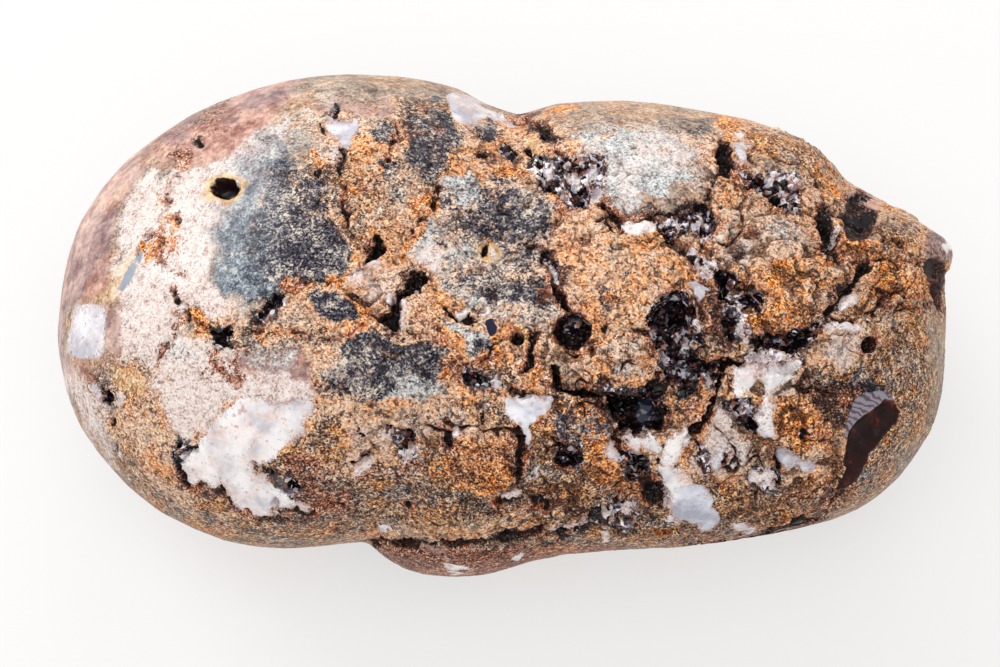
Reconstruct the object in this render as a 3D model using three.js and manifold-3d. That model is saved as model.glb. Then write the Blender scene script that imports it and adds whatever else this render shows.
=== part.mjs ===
// Tumbled, polished sphalerite stone: one solid pebble with two rounded lobes, a
// narrow ledge along its front underside, a small spur at its right-hand end, open
// vugs and cracks in the upper face, and a small flat spot that it rests on.
//
// Millimetres, +Z up. X runs along the stone, Y from front to back. The origin is
// the middle of the footprint box, on the resting plane.
//
// The skin is a rounded ("superelliptic") body, upright on the table, drawn out so
// that its girdle follows OUTLINE. The girdle is read square to a plane that leans
// back by LEAN: p runs along X in that plane, q up the lean, and heights w stand on
// it, larger on the upper face.
import * as THREE from "three";
import { mergeVertices } from "three/addons/utils/BufferGeometryUtils.js";
import Module from "manifold-3d";

const LEAN = THREE.MathUtils.degToRad(65); // angle of the girdle plane's normal above the table
const HALF_LENGTH = 20; // the rounded body behind the outline: half its size along X, Y and Z
const HALF_DEPTH = 11.7;
const HALF_HEIGHT = 8.75;
const BOXINESS = 2.3; // superellipse exponent: 2 is an ellipse, larger is squarer
const TAPER_APEX = 223; // the upper face narrows towards a far apex at this height over the plane
const TAPER_P0 = -0.223, TAPER_Q0 = -0.3345; // foot of that apex
const FLAT_DEPTH = 0.55; // depth worn off the underside for the resting spot
const DETAIL = 20; // icosahedron subdivisions
const SEAT = [0, 0, 0]; // filled from the finished solid, see the end

// Girdle outline about the middle of the stone, mm, counter-clockwise.
const OUTLINE = [
  [19.65, -0.31], [19.67, 0.71], [19.67, 1.74], [19.89, 2.74], [20.04, 3.3], [19.89, 3.75], [19.53, 3.95], [18.91, 4.37],
  [17.84, 5.04], [16.73, 5.66], [15.88, 6.11], [15.28, 6.43], [14.72, 7.05], [14, 7.72], [13.16, 8.27], [12.29, 8.71],
  [10.87, 9.21], [9.01, 9.56], [6.89, 9.92], [5.31, 10.06], [3.75, 10.02], [2.32, 9.92], [1.34, 9.63], [0.62, 9.42],
  [-0.22, 9.68], [-1.05, 9.99], [-1.47, 10.27], [-2.19, 10.63], [-3.32, 10.91], [-4.75, 11.13], [-6.88, 11.23], [-8.3, 11.15],
  [-9.72, 10.95], [-11.15, 10.56], [-12.58, 10.06], [-14, 9.42], [-15.41, 8.5], [-16.83, 7.43], [-17.97, 6.15], [-18.97, 4.58],
  [-19.46, 3.17], [-19.75, 1.74], [-19.91, 0.27], [-19.96, -0.62], [-19.82, -1.59], [-19.53, -3.01], [-18.97, -4.44], [-18.11, -5.71],
  [-16.83, -7.14], [-15.41, -8.28], [-13.99, -8.99], [-12.57, -9.56], [-11.15, -9.84], [-9.72, -9.93], [-8.3, -9.83], [-7.02, -9.68],
  [-6.2, -9.61], [-5.74, -9.98], [-5.32, -10.34], [-4.46, -10.84], [-3.61, -11.09], [-2.33, -11.19], [-1.19, -11.13], [-0.24, -10.93],
  [1.11, -10.5], [2.63, -10.2], [5.17, -9.98], [7.74, -9.87], [9.72, -9.63], [12.58, -9.16], [14.85, -8.56], [15.92, -8.07],
  [16.85, -7.42], [17.62, -6.69], [18.26, -5.84], [18.73, -5.08], [19.12, -4.15], [19.4, -2.99], [19.53, -1.74],
];

// Broad swells and hollows of the upper face: [p, q, spread along p, spread along q, height].
const SWELLS = [
  [-11.2, 1.2, 5.2, 5.6, 0.55], [-0.9, 8.5, 2.4, 3.2, -0.75], [-5.4, -8.6, 2.2, 2.6, -0.5], [-1.2, 0.5, 3.0, 5.0, -0.25],
  [6.2, 1.8, 3.4, 3.2, 0.45], [8.2, -2.6, 2.4, 2.6, -0.6], [3.0, -5.8, 3.6, 2.6, 0.35], [12.6, 2.4, 3.2, 3.2, 0.3],
  [15.4, -5.0, 3.0, 3.4, 0.35], [6.2, 7.6, 3.4, 2.2, 0.35], [15.4, 5.6, 1.6, 1.6, -0.45],
];

// Vugs and pits: [p, q, half length, half width, turn in degrees, depth].
const VUGS = [
  [8.3, -0.1, 1.2, 1.8, 20, 1.5], [6.7, -4.0, 1.4, 1.6, -30, 1.3], [10.6, 1.6, 1.2, 1.3, 0, 1.1], [2.9, -0.35, 0.85, 0.85, 0, 1.0],
  [-12.45, 6.2, 0.9, 0.8, 0, 0.9], [16.0, -4.9, 1.0, 2.1, -28, 1.0], [12.0, 6.2, 1.7, 0.85, -25, 0.8], [15.7, 5.2, 1.1, 1.4, 10, 0.8],
  [-4.6, 1.2, 0.9, 1.4, -40, 0.9], [9.6, 5.0, 1.5, 0.85, 15, 0.8], [-16.4, -3.3, 0.8, 1.2, 20, 0.6], [10.9, -4.4, 1.0, 1.2, 20, 0.8],
  [4.1, 6.8, 1.1, 0.9, -30, 0.7], [14.6, 4.0, 0.9, 1.1, -25, 0.8], [19.1, 1.4, 0.7, 1.4, 0, 0.6],
];

// Cracks worn open: [half width, depth, points of the line...].
const CRACKS = [
  [0.55, 0.9, [-5.9, -9.8], [-4.6, -9.75], [-2.6, -9.8], [-0.6, -9.6], [1.6, -9.35], [3.4, -8.9], [4.8, -8.2], [6.2, -7.3]],
  [0.45, 0.6, [6.2, -7.3], [7.2, -5.6], [9.0, -3.2], [9.9, -1.2], [12.6, -0.2], [14.6, 1.4]],
  [0.45, 0.6, [-12.6, 1.0], [-10.6, -0.5], [-8.4, 0.6], [-6.5, 2.4], [-4.8, 3.2]],
  [0.45, 0.5, [-7.4, 9.2], [-6.9, 6.0], [-6.6, 3.0], [-4.2, 0.4]],
];

function interp(table, x) {
  const n = table.length, t = ((x / (2 * Math.PI)) * n + 4 * n) % n, i = Math.floor(t), f = t - i;
  return table[i % n] * (1 - f) + table[(i + 1) % n] * f;
}

// Radius of the outline every half degree, and the same smoothed over `degrees`.
function radii() {
  const out = [];
  for (let k = 0; k < 720; k++) {
    const a = (k / 720) * 2 * Math.PI, c = Math.cos(a), s = Math.sin(a);
    let r = 0;
    for (let i = 0; i < OUTLINE.length; i++) {
      const [x1, y1] = OUTLINE[i], [x2, y2] = OUTLINE[(i + 1) % OUTLINE.length];
      const ex = x2 - x1, ey = y2 - y1, d = c * ey - s * ex;
      if (Math.abs(d) < 1e-12) continue;
      const t = (x1 * ey - y1 * ex) / d, u = (x1 * s - y1 * c) / d;
      if (t > 0 && u >= -1e-9 && u <= 1 + 1e-9) r = Math.max(r, t);
    }
    out.push(r);
  }
  return out;
}
function smooth(table, degrees) {
  const n = table.length, sd = (degrees / 360) * n, h = Math.ceil(3 * sd);
  return table.map((_, k) => {
    let sum = 0, w = 0;
    for (let j = -h; j <= h; j++) {
      const g = Math.exp((-j * j) / (2 * sd * sd));
      sum += g * table[(k + j + 2 * n) % n];
      w += g;
    }
    return sum / w;
  });
}
const RAW = radii(), FINE = smooth(RAW, 0.8), BROAD = smooth(RAW, 7), UNDER = smooth(RAW, 13);

// The plain body's own girdle: half width across the lean, and its slope.
const SE = Math.sin(LEAN), CE = Math.cos(LEAN), N = BOXINESS;
const TILT = Math.pow((CE / SE) * (HALF_HEIGHT / HALF_DEPTH) ** N, 1 / (N - 1));
const ACROSS = (SE + TILT * CE) / Math.pow(HALF_DEPTH ** -N + (TILT / HALF_HEIGHT) ** N, 1 / N);
const SLOPE = (TILT * SE - CE) / (SE + TILT * CE);

const ramp = (a, b, x) => { const t = Math.min(1, Math.max(0, (x - a) / (b - a))); return t * t * (3 - 2 * t); };
// Slow unevenness of the skin, about -1 to 1, for a direction.
const uneven = (x, y, z) =>
  (Math.sin(3.1 * x + 1.3 * y + 0.4) + Math.sin(2.3 * y - 2.9 * z + 1.9) + Math.sin(3.7 * z + 2.2 * x + 4.1) + 0.6 * Math.sin(6.1 * x - 4.3 * y + 3.3 * z)) / 3.6;

// A point of the smooth skin for a unit direction, in (p, q, w), with its place on the girdle plane and how far it stands over (1) or under (-1) the girdle.
function skin(x, y, z) {
  const t = Math.pow(Math.abs(x) ** N + Math.abs(y) ** N + Math.abs(z) ** N, -1 / N);
  const X = HALF_LENGTH * x * t, Y = HALF_DEPTH * y * t, Z = HALF_HEIGHT * z * t;
  const u = X, v = Y * SE + Z * CE, w0 = -Y * CE + Z * SE;
  const a = Math.atan2(v, u), own = Math.pow(Math.abs(Math.cos(a) / HALF_LENGTH) ** N + Math.abs(Math.sin(a) / ACROSS) ** N, -1 / N);
  const rho = Math.min(1, Math.hypot(u, v) / own), up = w0 > SLOPE * v, zz = (up ? 1 : -1) * Math.sqrt(Math.max(0, 1 - rho * rho));
  const angle = a < 0 ? a + 2 * Math.PI : a, k = up ? ramp(0.55, 0.97, rho) : ramp(0.9, 1, rho);
  const r = interp(up ? BROAD : UNDER, angle) * (1 - k) + interp(FINE, angle) * k, p = r * rho * Math.cos(a), q = r * rho * Math.sin(a);
  let w = w0 + 0.35 * Math.abs(zz) * uneven(x, y, z);
  if (zz > 0) for (const [sp, sq, lp, lq, h] of SWELLS) w += h * zz ** 0.7 * Math.exp(-(((p - sp) / lp) ** 2 + ((q - sq) / lq) ** 2) / 2);
  const s = 1 - w / TAPER_APEX;
  return [TAPER_P0 + (p - TAPER_P0) * s, TAPER_Q0 + (q - TAPER_Q0) * s, w, p, q, zz];
}

function segment(px, py, [ax, ay], [bx, by]) {
  const dx = bx - ax, dy = by - ay, t = Math.min(1, Math.max(0, ((px - ax) * dx + (py - ay) * dy) / (dx * dx + dy * dy)));
  return Math.hypot(px - ax - t * dx, py - ay - t * dy);
}
// Depth of the vugs and cracks at (p, q) of the upper face.
function dent(p, q) {
  let d = 0;
  for (const [vp, vq, l, b, turn, depth] of VUGS) {
    const a = THREE.MathUtils.degToRad(turn), x = (p - vp) * Math.cos(a) + (q - vq) * Math.sin(a), y = -(p - vp) * Math.sin(a) + (q - vq) * Math.cos(a);
    d = Math.max(d, depth * (1 - ramp(0.35, 1.35, Math.hypot(x / l, y / b))));
  }
  for (const [half, depth, ...line] of CRACKS)
    for (let i = 0; i + 1 < line.length; i++) d = Math.max(d, depth * (1 - ramp(0.1, 1.6, segment(p, q, line[i], line[i + 1]) / half)));
  return d;
}

// The mesh: an icosphere of directions drawn out to the skin, then dented along its normals.
const ball = new THREE.IcosahedronGeometry(1, DETAIL);
ball.deleteAttribute("normal");
ball.deleteAttribute("uv");
const geometry = mergeVertices(ball, 1e-4);
const pos = geometry.getAttribute("position"), local = [];
for (let i = 0; i < pos.count; i++) {
  // directions are drawn a little towards the broad faces, so that triangles stay even on a long stone
  const v = new THREE.Vector3(pos.getX(i), pos.getY(i), pos.getZ(i)).normalize();
  v.set(v.x * (0.72 + 0.28 * v.x * v.x), v.y, v.z).normalize();
  const [a, b, w, p, q, zz] = skin(v.x, v.y, v.z);
  local.push([p, q, zz]);
  pos.setXYZ(i, a, b * SE - w * CE, b * CE + w * SE);
}
geometry.computeVertexNormals();
const nor = geometry.getAttribute("normal");
for (let i = 0; i < pos.count; i++) {
  const [p, q, zz] = local[i];
  const d = zz > -0.12 ? dent(p, q) * ramp(-0.12, 0.05, zz) : 0;
  pos.setXYZ(i, pos.getX(i) - d * nor.getX(i), pos.getY(i) - d * nor.getY(i), pos.getZ(i) - d * nor.getZ(i));
}
geometry.deleteAttribute("normal");

// The resting spot: everything below one level plane is cut off.
const wasm = await Module();
wasm.setup();
const asSolid = (g) => new wasm.Manifold(new wasm.Mesh({ numProp: 3, vertProperties: new Float32Array(g.getAttribute("position").array), triVerts: new Uint32Array(g.getIndex().array) }));
geometry.computeBoundingBox();
const low = geometry.boundingBox.min.z + FLAT_DEPTH;
const table = new THREE.BoxGeometry(80, 80, 20).translate(0, 0, low - 10);
table.deleteAttribute("normal");
table.deleteAttribute("uv");
const cut = asSolid(geometry).subtract(asSolid(mergeVertices(table, 1e-4)));
const made = cut.getMesh();

const stone = new THREE.BufferGeometry();
const xyz = new Float32Array(made.numVert * 3);
for (let i = 0; i < made.numVert; i++) xyz.set(made.vertProperties.subarray(i * made.numProp, i * made.numProp + 3), i * 3);
stone.setAttribute("position", new THREE.BufferAttribute(xyz, 3));
stone.setIndex(new THREE.BufferAttribute(new Uint32Array(made.triVerts), 1));
stone.computeBoundingBox();
const box = stone.boundingBox;
SEAT[0] = -(box.min.x + box.max.x) / 2;
SEAT[1] = -(box.min.y + box.max.y) / 2;
SEAT[2] = -low;
stone.translate(...SEAT);
stone.computeVertexNormals();

const material = new THREE.MeshStandardMaterial({ color: new THREE.Color(0.3, 0.19, 0.12), roughness: 0.35, metalness: 0 });
const mesh = new THREE.Mesh(stone, material);
mesh.name = "sphalerite_stone";
const part = new THREE.Group();
part.name = "polished_sphalerite";
part.userData.seat = SEAT;
part.add(mesh);

export default part;
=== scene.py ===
"""Looks of a tumbled, polished sphalerite stone.

The stone is one closed mesh. Its smooth skin is the rounded body that the frame was
built on, made again here much finer. Cavities, worn cracks, crystal facets and the low
relief between hard and soft grains are cut into it. The minerals are patches, written
in the units of a 1000 x 667 view from above and in front, and carried on the mesh as
weights and edge distances. The grain inside each patch is procedural.
"""

import math
import time

import bpy
import numpy as np
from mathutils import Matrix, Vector


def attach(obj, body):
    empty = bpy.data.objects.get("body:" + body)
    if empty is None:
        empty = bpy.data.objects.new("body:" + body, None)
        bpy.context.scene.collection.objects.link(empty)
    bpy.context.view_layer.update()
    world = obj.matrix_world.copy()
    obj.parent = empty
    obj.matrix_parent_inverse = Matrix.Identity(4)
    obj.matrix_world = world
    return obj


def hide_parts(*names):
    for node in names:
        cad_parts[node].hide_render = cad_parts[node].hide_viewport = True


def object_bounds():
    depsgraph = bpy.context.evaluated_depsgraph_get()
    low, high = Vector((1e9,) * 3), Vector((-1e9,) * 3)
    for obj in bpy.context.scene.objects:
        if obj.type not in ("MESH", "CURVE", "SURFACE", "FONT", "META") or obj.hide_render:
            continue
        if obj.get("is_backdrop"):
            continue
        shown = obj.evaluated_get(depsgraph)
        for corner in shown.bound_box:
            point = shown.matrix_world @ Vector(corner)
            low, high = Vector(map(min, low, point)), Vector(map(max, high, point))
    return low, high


T0 = time.time()
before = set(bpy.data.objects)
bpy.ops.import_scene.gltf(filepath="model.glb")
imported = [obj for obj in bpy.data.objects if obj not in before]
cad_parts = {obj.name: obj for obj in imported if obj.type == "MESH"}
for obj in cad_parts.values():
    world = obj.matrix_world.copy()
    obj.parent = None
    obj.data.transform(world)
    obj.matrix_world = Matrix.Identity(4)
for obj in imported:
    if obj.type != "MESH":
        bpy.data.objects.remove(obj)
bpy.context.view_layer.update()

MM = 0.001
MAX_TRIANGLES = 198_000
F = np.float32

# ---------------------------------------------------------------- the smooth skin (mm)
K = 0.0446  # mm per unit of the view
VIEW_X, VIEW_Y = 505.0, 326.0  # the view's coordinates at the middle of the stone
LEAN = math.radians(65)
HALF_LENGTH, HALF_DEPTH, HALF_HEIGHT, BOXINESS = 20.0, 11.7, 8.75, 2.3
TAPER_APEX, TAPER_P0, TAPER_Q0 = 223.0, -0.223, -0.3345
SEAT = (-0.020504, -0.297909, 8.219990)

OUTLINE = np.array([
    [19.65, -0.31], [19.67, 0.71], [19.67, 1.74], [19.89, 2.74], [20.04, 3.3], [19.89, 3.75], [19.53, 3.95], [18.91, 4.37],
    [17.84, 5.04], [16.73, 5.66], [15.88, 6.11], [15.28, 6.43], [14.72, 7.05], [14, 7.72], [13.16, 8.27], [12.29, 8.71],
    [10.87, 9.21], [9.01, 9.56], [6.89, 9.92], [5.31, 10.06], [3.75, 10.02], [2.32, 9.92], [1.34, 9.63], [0.62, 9.42],
    [-0.22, 9.68], [-1.05, 9.99], [-1.47, 10.27], [-2.19, 10.63], [-3.32, 10.91], [-4.75, 11.13], [-6.88, 11.23], [-8.3, 11.15],
    [-9.72, 10.95], [-11.15, 10.56], [-12.58, 10.06], [-14, 9.42], [-15.41, 8.5], [-16.83, 7.43], [-17.97, 6.15], [-18.97, 4.58],
    [-19.46, 3.17], [-19.75, 1.74], [-19.91, 0.27], [-19.96, -0.62], [-19.82, -1.59], [-19.53, -3.01], [-18.97, -4.44], [-18.11, -5.71],
    [-16.83, -7.14], [-15.41, -8.28], [-13.99, -8.99], [-12.57, -9.56], [-11.15, -9.84], [-9.72, -9.93], [-8.3, -9.83], [-7.02, -9.68],
    [-6.2, -9.61], [-5.74, -9.98], [-5.32, -10.34], [-4.46, -10.84], [-3.61, -11.09], [-2.33, -11.19], [-1.19, -11.13], [-0.24, -10.93],
    [1.11, -10.5], [2.63, -10.2], [5.17, -9.98], [7.74, -9.87], [9.72, -9.63], [12.58, -9.16], [14.85, -8.56], [15.92, -8.07],
    [16.85, -7.42], [17.62, -6.69], [18.26, -5.84], [18.73, -5.08], [19.12, -4.15], [19.4, -2.99], [19.53, -1.74],
])
SWELLS = [
    (-11.2, 1.2, 5.2, 5.6, 0.55), (-0.9, 8.5, 2.4, 3.2, -0.75), (-5.4, -8.6, 2.2, 2.6, -0.5), (-1.2, 0.5, 3.0, 5.0, -0.25),
    (6.2, 1.8, 3.4, 3.2, 0.45), (8.2, -2.6, 2.4, 2.6, -0.6), (3.0, -5.8, 3.6, 2.6, 0.35), (12.6, 2.4, 3.2, 3.2, 0.3),
    (15.4, -5.0, 3.0, 3.4, 0.35), (6.2, 7.6, 3.4, 2.2, 0.35), (15.4, 5.6, 1.6, 1.6, -0.45),
]


def ramp(a, b, x):
    t = np.clip((x - a) / (b - a), 0, 1)
    return t * t * (3 - 2 * t)


def radii():
    out = np.zeros(720)
    ang = np.arange(720) / 720 * 2 * math.pi
    c, s = np.cos(ang), np.sin(ang)
    for i in range(len(OUTLINE)):
        (x1, y1), (x2, y2) = OUTLINE[i], OUTLINE[(i + 1) % len(OUTLINE)]
        ex, ey = x2 - x1, y2 - y1
        d = c * ey - s * ex
        ok = np.abs(d) > 1e-12
        d = np.where(ok, d, 1)
        t, u = (x1 * ey - y1 * ex) / d, (x1 * s - y1 * c) / d
        hit = ok & (t > 0) & (u >= -1e-9) & (u <= 1 + 1e-9)
        out = np.where(hit, np.maximum(out, t), out)
    return out


def smooth(table, degrees):
    n = len(table)
    sd = degrees / 360 * n
    h = math.ceil(3 * sd)
    g = np.exp(-np.arange(-h, h + 1) ** 2 / (2 * sd * sd))
    return sum(w * np.roll(table, -j) for j, w in zip(range(-h, h + 1), g)) / g.sum()


RAW = radii()
FINE, BROAD, UNDER = smooth(RAW, 0.8), smooth(RAW, 7), smooth(RAW, 13)
SE, CE, N = math.sin(LEAN), math.cos(LEAN), BOXINESS
TILT = ((CE / SE) * (HALF_HEIGHT / HALF_DEPTH) ** N) ** (1 / (N - 1))
ACROSS = (SE + TILT * CE) / (HALF_DEPTH**-N + (TILT / HALF_HEIGHT) ** N) ** (1 / N)
SLOPE = (TILT * SE - CE) / (SE + TILT * CE)


def interp(table, x):
    n = len(table)
    t = (x / (2 * math.pi) * n + 4 * n) % n
    i = np.floor(t).astype(int)
    f = t - i
    return table[i % n] * (1 - f) + table[(i + 1) % n] * f


def skin(d):
    """Points of the skin for unit directions: world mm, view (x, y), and zz, which is 1 over the middle of the girdle, 0 on it and -1 under it."""
    x, y, z = d.T
    t = (np.abs(x) ** N + np.abs(y) ** N + np.abs(z) ** N) ** (-1 / N)
    u, yy, zz0 = HALF_LENGTH * x * t, HALF_DEPTH * y * t, HALF_HEIGHT * z * t
    v, w0 = yy * SE + zz0 * CE, -yy * CE + zz0 * SE
    a = np.arctan2(v, u)
    own = (np.abs(np.cos(a) / HALF_LENGTH) ** N + np.abs(np.sin(a) / ACROSS) ** N) ** (-1 / N)
    rho = np.minimum(1, np.hypot(u, v) / own)
    up = w0 > SLOPE * v
    zz = np.where(up, 1, -1) * np.sqrt(np.maximum(0, 1 - rho * rho))
    ang = np.where(a < 0, a + 2 * math.pi, a)
    k = np.where(up, ramp(0.55, 0.97, rho), ramp(0.9, 1, rho))
    r = np.where(up, interp(BROAD, ang), interp(UNDER, ang)) * (1 - k) + interp(FINE, ang) * k
    p, q = r * rho * np.cos(a), r * rho * np.sin(a)
    slow = (np.sin(3.1 * x + 1.3 * y + 0.4) + np.sin(2.3 * y - 2.9 * z + 1.9) + np.sin(3.7 * z + 2.2 * x + 4.1)
            + 0.6 * np.sin(6.1 * x - 4.3 * y + 3.3 * z)) / 3.6
    w = w0 + 0.35 * np.abs(zz) * slow
    lift = np.maximum(zz, 0) ** 0.7
    for sp, sq, lp, lq, h in SWELLS:
        w = w + h * lift * np.exp(-(((p - sp) / lp) ** 2 + ((q - sq) / lq) ** 2) / 2)
    s = 1 - w / TAPER_APEX
    A, B = TAPER_P0 + (p - TAPER_P0) * s, TAPER_Q0 + (q - TAPER_Q0) * s
    world = np.stack([A + SEAT[0], B * SE - w * CE + SEAT[1], B * CE + w * SE + SEAT[2]], 1)
    return world, VIEW_X + p / K, VIEW_Y - q / K, zz


# ---------------------------------------------------------------- noise (seeded)
class Lattice:
    def __init__(self, seed):
        rng = np.random.default_rng(seed)
        self.perm = rng.permutation(4096).astype(np.int32)
        g = rng.normal(size=(4096, 3))
        self.grad = (g / np.linalg.norm(g, axis=1, keepdims=True)).astype(F)
        self.rand = rng.random((4096, 3)).astype(F)
        self.off = rng.random(3).astype(F) * 100 + 50

    def hash(self, i, j, k):
        m = 4095
        return self.perm[(self.perm[(self.perm[i & m] + j) & m] + k) & m]


def noise(P, size, seed):
    """Smooth gradient noise, about -1 to 1, with features of about `size` mm."""
    lat = Lattice(seed)
    q = P.astype(F) / F(size) + lat.off
    i = np.floor(q).astype(np.int32)
    f = q - i
    u = f * f * f * (f * (f * 6 - 15) + 10)
    out = np.zeros(len(P), F)
    for dx in (0, 1):
        wx = u[:, 0] if dx else 1 - u[:, 0]
        for dy in (0, 1):
            wy = u[:, 1] if dy else 1 - u[:, 1]
            for dz in (0, 1):
                wz = u[:, 2] if dz else 1 - u[:, 2]
                g = lat.grad[lat.hash(i[:, 0] + dx, i[:, 1] + dy, i[:, 2] + dz)]
                out += wx * wy * wz * (g[:, 0] * (f[:, 0] - dx) + g[:, 1] * (f[:, 1] - dy) + g[:, 2] * (f[:, 2] - dz))
    return out * F(1.7)


def fbm(P, size, seed, octaves=3, gain=0.55):
    out, amp, total = 0, 1.0, 0.0
    for o in range(octaves):
        out = out + amp * noise(P, size / 2**o, seed + 17 * o)
        total += amp
        amp *= gain
    return out / total


def cells(P, size, seed):
    """Nearest of scattered centres: distances to the two nearest in units of `size`, the nearest's random triple and the vector from it, in mm."""
    lat = Lattice(seed)
    q = P.astype(F) / F(size) + lat.off
    i = np.floor(q).astype(np.int32)
    f1 = np.full(len(P), 9, F)
    f2 = np.full(len(P), 9, F)
    best = np.zeros(len(P), np.int32)
    vec = np.zeros((len(P), 3), F)
    for dx in (-1, 0, 1):
        for dy in (-1, 0, 1):
            for dz in (-1, 0, 1):
                h = lat.hash(i[:, 0] + dx, i[:, 1] + dy, i[:, 2] + dz)
                v = q - (i + np.array([dx, dy, dz], np.int32)) - lat.rand[h]
                d = np.sqrt((v * v).sum(1))
                near = d < f1
                f2 = np.where(near, f1, np.minimum(f2, d))
                f1 = np.where(near, d, f1)
                best = np.where(near, h, best)
                vec = np.where(near[:, None], v, vec)
    return f1, f2, lat.rand[(best * 7 + 3) & 4095], vec * F(size)


# ---------------------------------------------------------------- flat shapes in the view
def sd_poly(x, y, pts):
    """Distance to a polygon's edge, positive inside."""
    d2 = np.full(len(x), 1e9, F)
    inside = np.zeros(len(x), bool)
    n = len(pts)
    for i in range(n):
        ax, ay = pts[i]
        bx, by = pts[(i + 1) % n]
        ex, ey = bx - ax, by - ay
        t = np.clip(((x - ax) * ex + (y - ay) * ey) / (ex * ex + ey * ey + 1e-9), 0, 1)
        dx, dy = x - ax - t * ex, y - ay - t * ey
        d2 = np.minimum(d2, dx * dx + dy * dy)
        if ay != by:
            inside ^= ((ay > y) != (by > y)) & (x < (bx - ax) * (y - ay) / (by - ay) + ax)
    return np.where(inside, 1, -1) * np.sqrt(d2)


def sd_ell(x, y, cx, cy, rx, ry, deg=0):
    a = math.radians(deg)
    u, v = (x - cx) * math.cos(a) + (y - cy) * math.sin(a), -(x - cx) * math.sin(a) + (y - cy) * math.cos(a)
    return (1 - np.hypot(u / rx, v / ry)) * min(rx, ry)


def line_distance(x, y, pts):
    d2 = np.full(len(x), 1e9, F)
    for (ax, ay), (bx, by) in zip(pts, pts[1:]):
        ex, ey = bx - ax, by - ay
        t = np.clip(((x - ax) * ex + (y - ay) * ey) / (ex * ex + ey * ey + 1e-9), 0, 1)
        dx, dy = x - ax - t * ex, y - ay - t * ey
        d2 = np.minimum(d2, dx * dx + dy * dy)
    return np.sqrt(d2)


def shape_sd(x, y, shape):
    """shape is ("e", cx, cy, rx, ry, deg), ("p", points) or ("l", width, points)."""
    if shape[0] == "e":
        return sd_ell(x, y, *shape[1:])
    if shape[0] == "p":
        return sd_poly(x, y, shape[1])
    return shape[1] / 2 - line_distance(x, y, shape[2])


def shape_box(shape, pad):
    if shape[0] == "e":
        r = max(shape[3], shape[4])
        return shape[1] - r - pad, shape[1] + r + pad, shape[2] - r - pad, shape[2] + r + pad
    pts = np.array(shape[1] if shape[0] == "p" else shape[2], float)
    pad += 0 if shape[0] == "p" else shape[1] / 2
    return pts[:, 0].min() - pad, pts[:, 0].max() + pad, pts[:, 1].min() - pad, pts[:, 1].max() + pad


def near(x, y, front, shape, pad):
    x0, x1, y0, y1 = shape_box(shape, pad)
    return np.nonzero((x > x0) & (x < x1) & (y > y0) & (y < y1) & (front > 0))[0]


def E(cx, cy, rx, ry, deg=0):
    return ("e", cx, cy, rx, ry, deg)


def P_(*pts):
    return ("p", pts)


def L_(width, *pts):
    return ("l", width, pts)
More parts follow.
